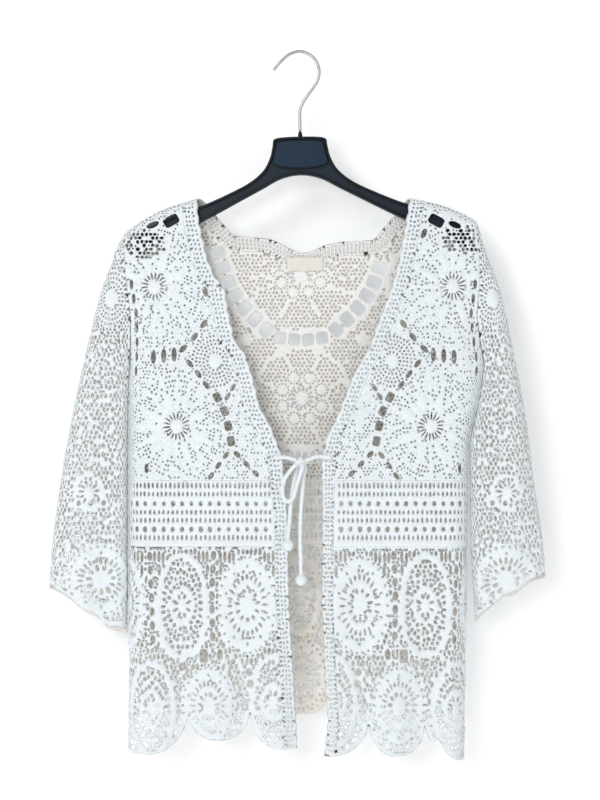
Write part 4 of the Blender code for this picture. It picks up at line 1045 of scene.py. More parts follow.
def yoke_front(side, settings):
    """A front from the shoulder to the waistband: ladders of wide gaps, three wheels, and a fine net."""
    edge, fold, shoulder = front_lines(side)
    outline = loop_of(run_of(edge, WAIST_TOP, shoulder[0, 1]), evenly(shoulder, 4),
                      run_of(fold, shoulder[-1, 1], WAIST_TOP),
                      level(fold(WAIST_TOP), edge(WAIST_TOP), WAIST_TOP))
    lace = Lace(outline, SEEDS["front_yoke"] + side)
    for row in YOKE_GAPS:
        lace.ladder(*row, side, AXIS)
    first, last, count, width, height = ARMHOLE_GAPS
    z = np.linspace(first, last, count)
    lace.cut(gap_rows(seam_x(side, z) - side * 5.5, z, width, height))
    by_fold = within_oval(AXIS + side * 193, -228 if side > 0 else -234, 25, 17)
    lace.net(*NETS["outer fold"], where=by_fold)
    for x, z, radius, stretch in WHEELS:
        wheel(lace, (AXIS + side * x, z), radius, stretch)
    small = (AXIS + side * SMALL_WHEEL[0], SMALL_WHEEL[1])
    lace.solid(*small, 6.5, 6.5, 0.9)
    for r in (10, 14.4, 18.8, 23.2, 27.6):
        lace.around(small, r, int(2 * math.pi * r / 4.3), 1.7, 2.3, (r / 5) % 1, 1.1, 0.9, 0.4)
    x = np.arange(shoulder[:, 0].min(), shoulder[:, 0].max(), 5.0)
    curve = flat_shoulder(side)
    order = np.argsort(curve[:, 0])
    top = np.interp(x, curve[order, 0], curve[order, 1])
    lace.cut(gap_rows(x, top - 7, 2.4, 3.4))
    fill(lace, settings)
    return lace


def yoke_back():
    """The back from the neckband to the waistband: wide gaps in an arc, and motifs in a webbed net."""
    folds = {side: side_fold(side) for side in (-1, 1)}
    neck, runs = back_neck(folds)
    outline = loop_of(evenly(neck, 4), evenly(runs[1], 4), run_of(folds[1], runs[1][-1, 1], WAIST_TOP),
                      level(folds[1](WAIST_TOP), folds[-1](WAIST_TOP), WAIST_TOP),
                      run_of(folds[-1], WAIST_TOP, runs[-1][-1, 1]), evenly(runs[-1][::-1], 4))
    lace = Lace(outline, SEEDS["back_yoke"])
    for path, count, width, height, along in BACK_GAPS:
        lace.ladder(path, count, width, height, along)
        if width > WIDE_GAP and along:
            for aside in (-1, 1):
                lace.strip(offset_line(evenly(path, 6), aside * (width / 2 + 2.2)), 1.6, 0.9)
    eighths = [math.radians(degrees) for degrees in (22, 68, 112, 158, 202, 248, 292, 338)]
    fan(lace, (3.7, -271.5), 66, 0.80, eighths[4:] + [0.0, math.pi], False)
    fan(lace, (5, -421), 60, 1.04, eighths)
    for side in (-1, 1):
        fan(lace, (AXIS + side * 160, -286), 56, 1.15, eighths)
        fan(lace, (AXIS + side * 140, -450), 54, 1.2, eighths)
        lace.solid(AXIS + side * 73, -350, 7.2, 7.2, 1.0)
    lace.net(*NETS["back yoke"])
    return lace


def back_neck(folds):
    """The yoke's neck line from shoulder to shoulder, and the two shoulder runs."""
    _, low_line = neck_lines()
    line = offset_line(low_line, -2 * LAP)
    ends = neck_ends(line)
    neck = between_ends(line, ends)
    runs = {}
    for side in (-1, 1):
        curve = flat_shoulder(side)
        start = neck[0] if side < 0 else neck[-1]
        stop = where_meets(curve, folds[side])
        between = [p for p in curve if abs(start[0]) + 4 < abs(p[0]) < abs(stop[0]) - 4]
        runs[side] = np.array([start, *between, stop])
    return neck, runs


def neck_ends(line):
    """Where a neck line meets the flat shoulder line on each side."""
    found = {}
    for side in (-1, 1):
        half = line[:3] if side < 0 else line[-3:][::-1]
        step = half[0] - half[1]
        beyond = half[0] + step / np.linalg.norm(step) * 60
        found[side] = where_meets(flat_shoulder(side), straight_through(half[0], beyond))
    return found


def straight_through(a, b):
    """The straight line through two points, as a function of z."""
    return lambda z: a[0] + (b[0] - a[0]) * (z - a[1]) / (b[1] - a[1])


def between_ends(line, ends):
    """A neck line cut off, or drawn out, to its two ends."""
    inner = [p for p in line if all(np.linalg.norm(p - ends[s]) > 5 for s in ends)
             and p[1] < max(ends[-1][1], ends[1][1]) and ends[-1][0] < p[0] < ends[1][0]]
    return np.array([ends[-1], *inner, ends[1]])


def waistband_rows(lace, start, end):
    """Seven rows of slits and round gaps, and the cord under them."""
    middle = (start + end) / 2
    for z, across, width, height in WAIST_ROWS:
        count = int((end - start - 6) / across)
        x = middle + (np.arange(count) - (count - 1) / 2) * across
        rows = gap_rows(x, z, width, height)
        rows[:, 0] += lace.random.uniform(-0.3, 0.3, count)
        rows[:, 2:4] *= lace.random.uniform(0.85, 1.15, (count, 1))
        lace.cut(rows, 0.9, 1.0, -1)
    for z in WAIST_CORDS:
        lace.strip([(start, z), (end, z)], 1.4, 0.3, False)
    lace.strip([(start, WAIST_FOOT_CORD), (end, WAIST_FOOT_CORD)], 2.4, 1.0, False)


def waist_outline(first, last):
    """The outline of a stretch of the waistband between two lines."""
    top, bottom = WAIST_TOP + 2 * LAP, WAIST_END
    return loop_of(run_of(first, bottom, top), level(first(top), last(top), top),
                   run_of(last, top, bottom), level(last(bottom), first(bottom), bottom))


def waist_front(side):
    """A front's stretch of the waistband."""
    edge, fold, _ = front_lines(side)
    lace = Lace(waist_outline(edge, fold), SEEDS["front_waist"] + side)
    waistband_rows(lace, *sorted((float(edge(WAIST_MIDDLE)), float(fold(WAIST_MIDDLE)))))
    return lace


def waist_back():
    """The back's stretch of the waistband."""
    folds = {side: side_fold(side) for side in (-1, 1)}
    lace = Lace(waist_outline(folds[-1], folds[1]), SEEDS["back_waist"])
    waistband_rows(lace, float(folds[-1](WAIST_MIDDLE)), float(folds[1](WAIST_MIDDLE)))
    return lace


def long_slits(lace, z):
    """A row of long upright gaps between straight strands."""
    x = np.arange(lace.low[0], lace.high[0], 5.3)
    x = x + lace.random.uniform(-0.5, 0.5, len(x))
    rows = gap_rows(x, z, 3.5, 13.5)
    rows[:, 1] += lace.random.uniform(-1.2, 1.2, len(x))
    lace.cut(rows, 0.9)


def peplum_front(side):
    """A front below the waistband: ovals in an open net over a scalloped hem."""
    edge, fold, _ = front_lines(side)
    top = WAIST_END + 2 * LAP
    foot_in, foot_out = hem_line(HEM[side], edge(-840)), hem_line(HEM[side], fold(-850))
    hem = hem_points(HEM[side], edge(-840), fold(-850), 3.6)
    outline = loop_of(run_of(edge, top, foot_in), hem, run_of(fold, foot_out, top),
                      level(fold(top), edge(top), top))
    lace = Lace(outline, SEEDS["front_peplum"] + side)
    lace.strip(hem, 3.2, 0.9)
    for x, z, half_width, half_height in ROSETTES:
        rosette(lace, (AXIS + side * x, z), half_width, half_height)
    for row in PEPLUM_GAPS:
        lace.ladder(*row, side, AXIS)
    for x, z, half_width, half_height in LATTICES:
        lattice(lace, (AXIS + side * x, z), half_width, half_height)
    long_slits(lace, -613)
    long_slits(lace, -629)
    lace.net(*NETS["peplum"])
    lace.net(*NETS["fine peplum"])
    return lace


def peplum_back():
    """The back below the waistband: two rows of rosettes and lattices by turns."""
    folds = {side: side_fold(side) for side in (-1, 1)}
    top = WAIST_END + 2 * LAP
    hem = hem_points(BACK_HEM, folds[-1](-805), folds[1](-805), 3.6)
    outline = loop_of(hem, run_of(folds[1], hem[-1, 1], top), level(folds[1](top), folds[-1](top), top),
                      run_of(folds[-1], top, hem[0, 1]))
    lace = Lace(outline, SEEDS["back_peplum"])
    lace.strip(hem, 3.2, 0.9)
    for i in range(7):
        x = -203.5 + 69 * i
        if i % 2:
            rosette(lace, (x, -762), 31, 43)
        else:
            lattice(lace, (x, -762), 31, 43)
    for i in range(7):
        x = -200 + 58 * i + 29
        if i % 2:
            lattice(lace, (x, -662), 25, 50)
        else:
            rosette(lace, (x, -662), 27, 54)
    for row in BACK_PEPLUM_GAPS:
        lace.ladder(*row)
    lace.net(*NETS["back peplum"])
    lace.net(*NETS["fine back peplum"])
    return lace


def sleeve_half(side, face):
    """The front or back half of a sleeve, from the shoulder to its cuff."""
    fold = side_fold(side, True)
    curve = flat_shoulder(side)
    drop = BACK_CUFF_DROP if face > 0 else 0.0
    rows = np.array(CUFF[side], float) - (0, drop)
    order = np.argsort(rows[:, 0])

    def cuff(x):
        return np.interp(x, rows[order, 0], rows[order, 1])

    start = where_meets(curve, fold)
    outer = curve[curve[:, 1] < start[1] - 3]
    outer = outer[outer[:, 1] > cuff(outer[:, 0])]
    foot_out = (outer[-1, 0], cuff(outer[-1, 0]))
    outer = np.array([start, *outer, foot_out])
    x = np.linspace(foot_out[0], fold(cuff(fold(-695))), 30)
    hem = np.stack([x, cuff(x)], 1)
    outline = loop_of(evenly(outer, 4), hem, run_of(fold, hem[-1, 1], start[1]))
    lace = Lace(outline, SEEDS["sleeve"] + side + 5 * face)
    lace.strip(hem, 3.0, 0.9)

    def middle(z):
        return (float(fold(z)) + float(np.interp(-z, -curve[:, 1], curve[:, 0]))) / 2

    rosette(lace, (AXIS + side * 245, -641.0 - drop), 40, 41)
    for z, count, width, height, spread in SLEEVE_GAPS:
        for i in range(count):
            lace.cut([(middle(z) + (i - (count - 1) / 2) * spread, z, width, height, 0)])
    flower = (middle(-538) + side * 3, -535.0)
    lace.solid(*flower, 4.4, 5.0, 0.9)
    lace.around(flower, 9.6, 11, 2.6, 6.4, 0.3, 1.15)
    lace.ring(flower, 17.0, 1.2, 1.1, 0.6)
    upper = (middle(-305) - side * 2, -300.0)
    lace.solid(*upper, 6, 8, 1.0)
    for r in (10.5, 15, 19.5, 24):
        lace.around(upper, r, int(2 * math.pi * r * 1.15 / 4.4), 1.7, 2.5, 0.3, 1.3, 0.9, 0.5)
    lace.net(*NETS["sleeve"], where=lambda gap_x, gap_z: gap_z < -345)
    lace.net(*NETS["fine sleeve"])
    return lace


def edging_front(side):
    """The band up a front edge, with three rows of small holes between two cords."""
    inner, outer = band_inner(side), band_outer(side)
    shoulder = shoulder_run(side, inner, outer)
    hem = hem_points(HEM[side], inner(-845), outer(-840), 3.0)

    def scalloped(z):
        return inner(z) + side * 1.7 * (1 - np.abs(np.sin(z * math.pi / 15.0)))

    outline = loop_of(run_of(scalloped, hem[0, 1], shoulder[0, 1], 2.3), evenly(shoulder, 4),
                      run_of(outer, shoulder[-1, 1], hem[-1, 1], 4), hem[::-1])
    lace = Lace(outline, SEEDS["front_edging"] + side)
    z = np.linspace(shoulder[0, 1] - 4, -845, 160)
    for share, rise in ((0.14, 0.7), (0.9, 0.5)):
        lace.strip(np.stack([inner(z) + share * (outer(z) - inner(z)), z], 1), 2.0, rise, False)
    for share, start in ((0.34, 0.0), (0.57, 2.6), (0.78, 1.2)):
        dots_along(lace, lambda h, share=share: inner(h) + share * (outer(h) - inner(h)),
                   shoulder[0, 1] + start, -850)
    return lace


def edging_neck():
    """The band behind the neck, with three rows of small holes."""
    top_line, low_line = neck_lines()
    ends = {name: neck_ends(line) for name, line in (("top", top_line), ("low", low_line))}
    upper, lower = between_ends(top_line, ends["top"]), between_ends(low_line, ends["low"])
    left = [p for p in flat_shoulder(-1) if lower[0, 0] + 3 < p[0] < upper[0, 0] - 3]
    right = [p for p in flat_shoulder(1) if upper[-1, 0] + 3 < p[0] < lower[-1, 0] - 3]
    outline = loop_of(evenly(upper, 3.5), np.array([*right, lower[-1]]), evenly(lower[::-1], 3.5),
                      np.array(left[::-1]).reshape(-1, 2))
    lace = Lace(outline, SEEDS["neck_edging"])
    for inset in (4.6, 9.0, 13.4):
        line = evenly(offset_line(top_line, inset), 4.8)
        along = np.gradient(line, axis=0)
        turn = np.arctan2(along[:, 1], along[:, 0])
        lace.cut(gap_rows(line[:, 0], line[:, 1], 1.7, 2.6, turn), 0.8, 1.0)
    lace.strip(evenly(offset_line(top_line, 1.8), 4), 1.8, 0.7, False)
    return lace


# Cords, the knot and its bobbles

def swept(name, path, radius, sides, lobes=0, depth=0.0, turn_length=9.0, closed=False):
    """A tube along a path. It may be a twist of strands: lobes that turn once round in turn_length."""
    path = np.asarray(path, float)
    count = len(path)
    along = np.roll(path, -1, axis=0) - np.roll(path, 1, axis=0) if closed else np.gradient(path, axis=0)
    along /= np.linalg.norm(along, axis=1)[:, None]
    normal = np.zeros_like(path)
    start = np.array((0, 1, 0)) if abs(along[0, 1]) < 0.9 else np.array((1, 0, 0))
    normal[0] = start - along[0] * (start @ along[0])
    for i in range(1, count):
        normal[i] = normal[i - 1] - along[i] * (normal[i - 1] @ along[i])
        normal[i] /= np.linalg.norm(normal[i])
    other = np.cross(along, normal)
    run = np.concatenate([[0], np.linalg.norm(np.diff(path, axis=0), axis=1).cumsum()])
    angle = np.arange(sides) * 2 * math.pi / sides
    lobe = np.abs(np.cos(lobes * (angle[None] - 2 * math.pi * run[:, None] / turn_length) / 2)) - 1
    bulge = radius + depth * lobe
    rings = (path[:, None] + bulge[:, :, None] * (np.cos(angle)[None, :, None] * normal[:, None]
                                                 + np.sin(angle)[None, :, None] * other[:, None]))
    points = rings.reshape(-1, 3)
    last = count if closed else count - 1
    faces = []
    for i in range(last):
        for k in range(sides):
            a, b = i * sides + k, i * sides + (k + 1) % sides
            c, d = (a + sides) % (count * sides), (b + sides) % (count * sides)
            faces.append((a, b, d, c))
    if not closed:
        for i, sign in ((0, -1), (count - 1, 1)):
            rim = [i * sides + k for k in range(sides)]
            for share, out in ((0.72, 0.68), (0.0, 0.95)):
                ring = path[i] + share * (rings[i] - path[i]) + sign * out * radius * along[i]
                fresh = list(range(len(points), len(points) + sides)) if share else [len(points)] * sides
                points = np.concatenate([points, ring if share else ring[:1]])
                for k in range(sides):
                    a, b, c, d = rim[k], rim[(k + 1) % sides], fresh[(k + 1) % sides], fresh[k]
                    face = (a, b, c, d) if c != d else (a, b, c)
                    faces.append(face if sign > 0 else tuple(reversed(face)))
                rim = fresh
    return smooth_object(name, points * MM, faces)


def fine_path(points, step=0.9):
    """A smooth curve through the points with evenly spaced points of its own."""
    curve = smooth_curve([tuple(p) for p in points], 8)
    run = np.concatenate([[0], np.linalg.norm(np.diff(curve, axis=0), axis=1).cumsum()])
    at = np.linspace(0, run[-1], max(4, int(run[-1] / step)))
    return np.stack([np.interp(at, run, curve[:, k]) for k in range(3)], 1)


def from_knot(direction, gap=KNOT_GAP):
    """Two points straight out of the knot, the first just clear of it."""
    unit = np.array(direction, float) / np.linalg.norm(direction)
    clear_of_knot = 1 / np.linalg.norm(unit / np.array(KNOT_SIZE)) + gap
    return [np.array(KNOT) + unit * (clear_of_knot + step) for step in (0.0, 4.0)]


def tie_routes():
    """The two cords, each from the cloth through the knot to its bobble."""
    above = np.array((0, 0, BOBBLE[2] - 1.0))
    stub_left = [
        (38, -27.6, -492.6), (28, -27.8, -491.5), (20, -28.8, -492.3), *from_knot((1, 0.1, 0.25))[::-1],
    ]
    stub_right = [
        (-28, -27.6, -492.8), (-18, -27.8, -492.4), (-11, -28.8, -493.2), *from_knot((-1, 0.1, 0.25))[::-1],
    ]
    loop = [
        *from_knot((-0.75, -0.45, -0.5), LOOP_GAP), (-10.5, -35.4, -510), (-16.5, -35.2, -520),
        (-19, -34.6, -532), (-16.6, -34.2, -542), (-11, -34.2, -545.6), (-5.6, -34.6, -540),
        (-2.4, -35.6, -529), (2.0, -37.6, -515), *from_knot((0.15, -0.8, -0.6), LOOP_GAP)[::-1],
    ]
    tail_left = [
        *from_knot((0.5, 0.1, -0.85)), (7.2, -29.2, -514), (5.4, -29.1, -535), (3.4, -29, -560),
        (2.6, -29.1, -590), (3.3, -29.3, -616), tuple(np.array(BOBBLES["left"]) + above),
    ]
    tail_right = [
        *from_knot((-0.35, 0.55, -0.75)), (-2.6, -27.8, -513), (-6, -28.2, -530), (-8.6, -28.8, -550),
        (-10.2, -30.2, -570), (-11.7, -32.8, -583), tuple(np.array(BOBBLES["right"]) + above),
    ]
    return [*stub_left, *tail_left], [*stub_right, *loop, *tail_right]


def bobble(name, centre):
    """A small crocheted ball: rounds of stitches, each round shifted by half a stitch."""
    rows, columns, rounds, stitches, depth = 40, 56, 8, 11, 0.5
    points, faces = [], []
    for r in range(rows + 1):
        polar = math.pi * r / rows
        for c in range(columns):
            angle = 2 * math.pi * c / columns
            round_of = r / rows * rounds
            stitch = abs(math.cos(stitches / 2 * angle + math.pi / 2 * int(round_of)))
            relief = depth * stitch * abs(math.sin(math.pi * round_of)) * math.sin(polar) - depth
            unit = (math.sin(polar) * math.cos(angle), math.sin(polar) * math.sin(angle), math.cos(polar))
            points.append(tuple((centre[k] + unit[k] * (BOBBLE[k] + relief)) * MM for k in range(3)))
    for r in range(rows):
        for c in range(columns):
            a, b = r * columns + c, r * columns + (c + 1) % columns
            faces.append((a, a + columns, b + columns, b))
    return smooth_object(name, points, faces)


def build_tie(settings):
    """The bobbles, the knot as three wraps of cord, and the two cords."""
    finish = cotton("tie cotton", settings.cotton, 620.0, 0.00035)
    for side in ("left", "right"):
        ball = place(bobble("crochet_bobble_" + side, BOBBLES[side]), "tie", "tie_bobble_" + side)
        ball.data.materials.append(finish)
    wraps = []
    centre = np.array(KNOT)
    turn = np.linspace(0, 2 * math.pi, 33)[:-1]
    for tilt, shift in ((0.35, (1.6, 0, 0)), (-0.25, (-1.6, 0, 0.2)), (1.45, (0, -0.9, 0))):
        ring = np.stack([np.zeros(32), 3.9 * np.cos(turn), 3.5 * np.sin(turn)], 1)
        c, s = math.cos(tilt), math.sin(tilt)
        ring = np.stack([ring[:, 0] * c - ring[:, 2] * s, ring[:, 1], ring[:, 0] * s + ring[:, 2] * c], 1)
        wraps.append(swept("knot_wrap", centre + shift + ring, 2.4, 14, 3, 0.5, 7.0, closed=True))
    knot = joined("crochet_knot", wraps)
    knot.data.materials.append(finish)
    place(knot, "tie", "tie_knot")
    first, second = (fine_path(route) for route in tie_routes())
    pieces = {
        "left": ("crochet_cord_left", first, ("tie_cord_left", "tie_tail_left")),
        "right": ("crochet_cord_right", second, ("tie_cord_right", "tie_loop", "tie_tail_right")),
    }
    for side, (name, path, nodes) in pieces.items():
        cord = swept(name, path, TIE_RADIUS, 18, 3, 0.55, 8.5)
        cord.data.materials.append(finish)
        place(cord, "tie", *nodes)


def joined(name, things):
    """Several meshes as one object."""
    points, faces = [], []
    for thing in things:
        base = len(points)
        points += [tuple(vertex.co) for vertex in thing.data.vertices]
        faces += [tuple(base + i for i in face.vertices) for face in thing.data.polygons]
        mesh = thing.data
        bpy.data.objects.remove(thing)
        bpy.data.meshes.remove(mesh)
    return smooth_object(name, points, faces)


def build_label(settings):
    """The blank woven tab, with its ends turned under and stitched down."""
    left, right, bottom, top = LABEL
    columns, rows = 45, 13
    across, up = np.linspace(left, right, columns), np.linspace(bottom, top, rows)
    flat = np.array([(x, z) for z in up for x in across])
    back, normal = surface(flat, 1, 0)
    end = np.minimum(flat[:, 0] - left, right - flat[:, 0])
    lift = WALL / 2 + 0.5 + 0.45 * smooth_step(0, 5, end)
    points = back - normal * lift[:, None]
    faces = [(r * columns + c, r * columns + c + 1, (r + 1) * columns + c + 1, (r + 1) * columns + c)
             for r in range(rows - 1) for c in range(columns - 1)]
    tab = smooth_object("woven_label", points * MM, faces)
    wall = tab.modifiers.new("wall", "SOLIDIFY")
    wall.thickness = LABEL_THICK * MM
    wall.offset = 1
    tab.data.materials.append(ribbon("cream ribbon", settings.label))
    place(tab, "label", "neck_label")
    stitches = []
    for x in (left + 1.6, right - 1.6):
        for z in np.arange(bottom + 1.5, top - 1, 2.4):
            spot, way = surface(np.array([(x, z), (x, z + 1.5)]), 1, 0)
            stitches.append(swept("stitch", fine_path(spot - way * (WALL / 2 + 1.15), 0.5), 0.28, 6))
    thread = joined("label_stitches", stitches)
    thread.data.materials.append(cotton("label thread", settings.cotton, 900.0, 0.0001))
    place(thread, "label")


# The hanger

def mirrored(half):
    """A closed outline from its right half."""
    points = [tuple(p) for p in half]
    return points + [(-x, z) for x, z in reversed(points) if x > 0.01]


def shrunk(points, distance):
    """A closed outline moved inwards."""
    points = np.array(points, float)
    along = np.roll(points, -1, axis=0) - np.roll(points, 1, axis=0)
    normal = np.stack([along[:, 1], -along[:, 0]], 1)
    normal /= np.linalg.norm(normal, axis=1)[:, None]
    area = (points[:, 0] * np.roll(points[:, 1], -1) - np.roll(points[:, 0], -1) * points[:, 1]).sum()
    return points + normal * distance * (1 if area < 0 else -1)


def leant(x, z):
    """A point of the upright hanger as it hangs."""
    c, s = math.cos(LEAN), math.sin(LEAN)
    return x * c + z * s, z * c - x * s


def moulding(name, outlines, thickness, y, round_edge, finish):
    """Flat outlines, the later ones holes, extruded with rounded edges and leant."""
    data = bpy.data.curves.new(name, "CURVE")
    data.dimensions = "2D"
    data.fill_mode = "BOTH"
    data.extrude = (thickness / 2 - round_edge) * MM
    data.bevel_depth = round_edge * MM
    data.bevel_resolution = 3
    data.offset = -round_edge * MM
    for outline in outlines:
        fine = smooth_curve([*outline, outline[0]], 4)[:-1]
        spline = data.splines.new("POLY")
        spline.points.add(len(fine) - 1)
        for control, (x, z) in zip(spline.points, fine):
            control.co = (x * MM, z * MM, 0, 1)
        spline.use_cyclic_u = True
    curve = add_object(name + "_curve", data)
    curve.rotation_euler = (math.pi / 2, 0, 0)
    curve.location.y = y * MM
    bpy.context.view_layer.update()
    mesh = bpy.data.meshes.new_from_object(curve.evaluated_get(bpy.context.evaluated_depsgraph_get()))
    mesh.transform(curve.matrix_world)
    bpy.data.objects.remove(curve)
    mesh.name = name
    for vertex in mesh.vertices:
        x, z = leant(vertex.co.x, vertex.co.z)
        vertex.co.x, vertex.co.z = x, z
    thing = add_object(name, mesh)
    mesh.materials.clear()
    mesh.materials.append(finish)
    return thing


def build_hanger(settings):
    """The rim of the arms and the web in it, the plate in its surround, the ferrule and the hook."""
    black = moulded("black moulding", settings.moulding, 0.34)
    outline = mirrored([*ARM_TOP, *ARM_FOOT])
    pocket = shrunk(outline, RIM)
    rim = moulding("hanger_rim", [outline, pocket], ARM_THICK, 0, 0.9, black)
    place(rim, "hanger", "hanger_body")
    slate = moulded("slate web", settings.web, 0.42)
    web = moulding("hanger_web", [shrunk(outline, RIM - 0.4)], WEB_THICK, 0, 0.3, slate)
    place(web, "hanger")
    stand = ARM_THICK / 2 + PLATE_STANDS
    depth = stand - WEB_THICK / 2 - 0.3
    plate = mirrored(PLATE)
    middle = -(stand - depth / 2)
    navy = moulded("navy plate", settings.plate, 0.38)
    badge = moulding("badge_plate", [shrunk(plate, 1.4)], depth, middle - 0.25, 0.5, navy)
    place(badge, "plate", "hanger_plate")
    surround = moulding("badge_surround", [plate, shrunk(plate, 1.5)], depth, middle, 0.4, black)
    place(surround, "plate")
    ferrule = lathe("hook_collar", [(*leant(HOOK[-1][0], z), radius) for radius, z in ferrule_profile()])
    ferrule.data.materials.append(black)
    place(ferrule, "ferrule", "hook_ferrule")
    wire = [leant(x, z) for x, z in HOOK]
    path = fine_path([(x, 0, z) for x, z in wire], 1.4)
    hook = swept("steel_hook", path[1:-1], HOOK_RADIUS, 24)
    hook.data.materials.append(steel("nickelled wire", settings.steel))
    place(hook, "hook", "hanger_hook")


def ferrule_profile():
    """The ferrule's (radius, z) rows from the top down, with rounded corners and a rim round its foot."""
    top, shoulder, foot, bottom = FERRULE
    return [
        top, (shoulder[0] - 0.4, shoulder[1]), (shoulder[0], shoulder[1] - 0.4),
        (foot[0] - 0.15, foot[1] + 2.6), (foot[0], foot[1] + 2.2), (foot[0], foot[1] + 0.3),
        (foot[0] - 0.3, foot[1]), bottom,
    ]


def lathe(name, rows, sides=40):
    """A turned piece from rows of (x of its axis, z, radius)."""
    points, faces = [], []
    for x, z, radius in rows:
        for k in range(sides):
            angle = 2 * math.pi * k / sides
            points.append(((x + radius * math.cos(angle)) * MM, radius * math.sin(angle) * MM, z * MM))
    for r in range(len(rows) - 1):
        for k in range(sides):
            a, b = r * sides + k, r * sides + (k + 1) % sides
            faces.append((a, a + sides, b + sides, b))
    return smooth_object(name, points, faces)


# Materials

def new_material(name):
    """(material, its nodes, its links, its Principled shader, the object's own coordinates)"""
    material = bpy.data.materials.new(name)
    material.use_nodes = True
    nodes, links = material.node_tree.nodes, material.node_tree.links
    shader = next(node for node in nodes if node.type == "BSDF_PRINCIPLED")
    where = nodes.new("ShaderNodeTexCoord").outputs["Object"]
    return material, nodes, links, shader, where


def set_inputs(node, **values):
    """Sets inputs of a node. A name's underscores stand for spaces."""
    for name, value in values.items():
        node.inputs[name.replace("_", " ")].default_value = value


def feed(links, source, socket):
    """Links a node's output to an input, or sets the input to a number or a colour."""
    if isinstance(source, bpy.types.NodeSocket):
        links.new(source, socket)
    else:
        socket.default_value = source if isinstance(source, float) else (*source, 1)


def noise(nodes, links, where, scale, detail):
    """A noise texture."""
    texture = nodes.new("ShaderNodeTexNoise")
    set_inputs(texture, Scale=scale, Detail=detail)
    links.new(where, texture.inputs["Vector"])
    return texture


def mixed(nodes, links, factor, first, second):
    """A blend of two colours, each a colour or an output."""
    mix = nodes.new("ShaderNodeMix")
    mix.data_type = "RGBA"
    links.new(factor, mix.inputs["Factor"])
    feed(links, first, mix.inputs["A"])
    feed(links, second, mix.inputs["B"])
    return mix.outputs["Result"]


def ranged(nodes, links, value, **ends):
    """A value brought from one range to another."""
    spread = nodes.new("ShaderNodeMapRange")
    set_inputs(spread, **ends)
    links.new(value, spread.inputs["Value"])
    return spread.outputs["Result"]


def sums(nodes, links, operation, first, second):
    """The result of a Math node. The second input is a number or an output."""
    result = nodes.new("ShaderNodeMath")
    result.operation = operation
    links.new(first, result.inputs[0])
    feed(links, second, result.inputs[1])
    return result.outputs["Value"]


def bumped(nodes, links, height, distance, shader, strength, under=None):
    """A relief on the shader, over the one under it if that is given."""
    bump = nodes.new("ShaderNodeBump")
    set_inputs(bump, Distance=distance, Strength=strength)
    links.new(height, bump.inputs["Height"])
    if under:
        links.new(under.outputs["Normal"], bump.inputs["Normal"])
    links.new(bump.outputs["Normal"], shader.inputs["Normal"])
    return bump


def cotton(name, colour, yarns, distance, painted_shade=None):
    """Mercerised cotton yarn: soft sheen, plies, a slow change of tone, and painted shade at rims and between
    plies.
    """
    material, nodes, links, shader, where = new_material(name)
    tone = noise(nodes, links, where, 26.0, 2.0)
    shade = tuple(0.93 * c for c in colour)
    yarn = mixed(nodes, links, tone.outputs["Fac"], shade, colour)
    plies = nodes.new("ShaderNodeTexVoronoi")
    plies.inputs["Scale"].default_value = yarns
    links.new(where, plies.inputs["Vector"])
    # Painted shade: the yarn is darkened towards the shade colour at gap rims and edges, on webs, and between
    # plies
    if painted_shade:
        sunk = nodes.new("ShaderNodeAttribute")
        sunk.attribute_name = "sunk"
        near_rim = sums(nodes, links, "POWER", sunk.outputs["Fac"], 2.4)
        between = ranged(nodes, links, plies.outputs["Distance"], From_Min=0.3, From_Max=0.75, To_Max=0.22)
        painted_shade_share = sums(nodes, links, "MAXIMUM", near_rim, between)
        yarn = mixed(nodes, links, painted_shade_share, yarn, painted_shade)
    links.new(yarn, shader.inputs["Base Color"])
    set_inputs(shader, Roughness=0.78, Sheen_Weight=0.25, Sheen_Roughness=0.4, Specular_IOR_Level=0.3)
    first = bumped(nodes, links, plies.outputs["Distance"], distance, shader, 0.8)
    fuzz = noise(nodes, links, where, yarns * 3.2, 4.0)
    bumped(nodes, links, fuzz.outputs["Fac"], distance * 0.4, shader, 0.6, first)
    return material


def ribbon(name, colour):
    """Woven cream ribbon: fine ribs one way and finer ones the other."""
    material, nodes, links, shader, where = new_material(name)
    tone = noise(nodes, links, where, 90.0, 2.0)
    shade = tuple(0.9 * c for c in colour)
    links.new(mixed(nodes, links, tone.outputs["Fac"], shade, colour), shader.inputs["Base Color"])
    set_inputs(shader, Roughness=0.62, Sheen_Weight=0.2)
    bump = None
    for direction, scale, distance in (("Z", 420.0, 0.00012), ("X", 700.0, 0.00006)):
        weave = nodes.new("ShaderNodeTexWave")
        weave.bands_direction = direction
        weave.inputs["Scale"].default_value = scale
        links.new(where, weave.inputs["Vector"])
        bump = bumped(nodes, links, weave.outputs["Fac"], distance, shader, 0.8, bump)
    return material


def moulded(name, colour, roughness):
    """Injection-moulded plastic with a faint grain and a mottled polish."""
    material, nodes, links, shader, where = new_material(name)
    tone = noise(nodes, links, where, 60.0, 4.0)
    lighter = tuple(1.25 * c + 0.002 for c in colour)
    links.new(mixed(nodes, links, tone.outputs["Fac"], colour, lighter), shader.inputs["Base Color"])
    polish = ranged(nodes, links, tone.outputs["Fac"], To_Min=roughness - 0.05, To_Max=roughness + 0.08)
    links.new(polish, shader.inputs["Roughness"])
    set_inputs(shader, Specular_IOR_Level=0.2)
    grain = noise(nodes, links, where, 1800.0, 2.0)
    bumped(nodes, links, grain.outputs["Fac"], 0.00003, shader, 0.5)
    return material


def steel(name, colour):
    """Drawn wire under a thin nickel plate, with faint marks along it."""
    material, nodes, links, shader, where = new_material(name)
    marks = noise(nodes, links, where, 240.0, 5.0)
    darker = tuple(0.82 * c for c in colour)
    links.new(mixed(nodes, links, marks.outputs["Fac"], darker, colour), shader.inputs["Base Color"])
    set_inputs(shader, Metallic=1.0)
    polish = ranged(nodes, links, marks.outputs["Fac"], To_Min=0.2, To_Max=0.42)
    links.new(polish, shader.inputs["Roughness"])
    bumped(nodes, links, marks.outputs["Fac"], 0.00004, shader, 0.5)
    return material


# Camera and studio

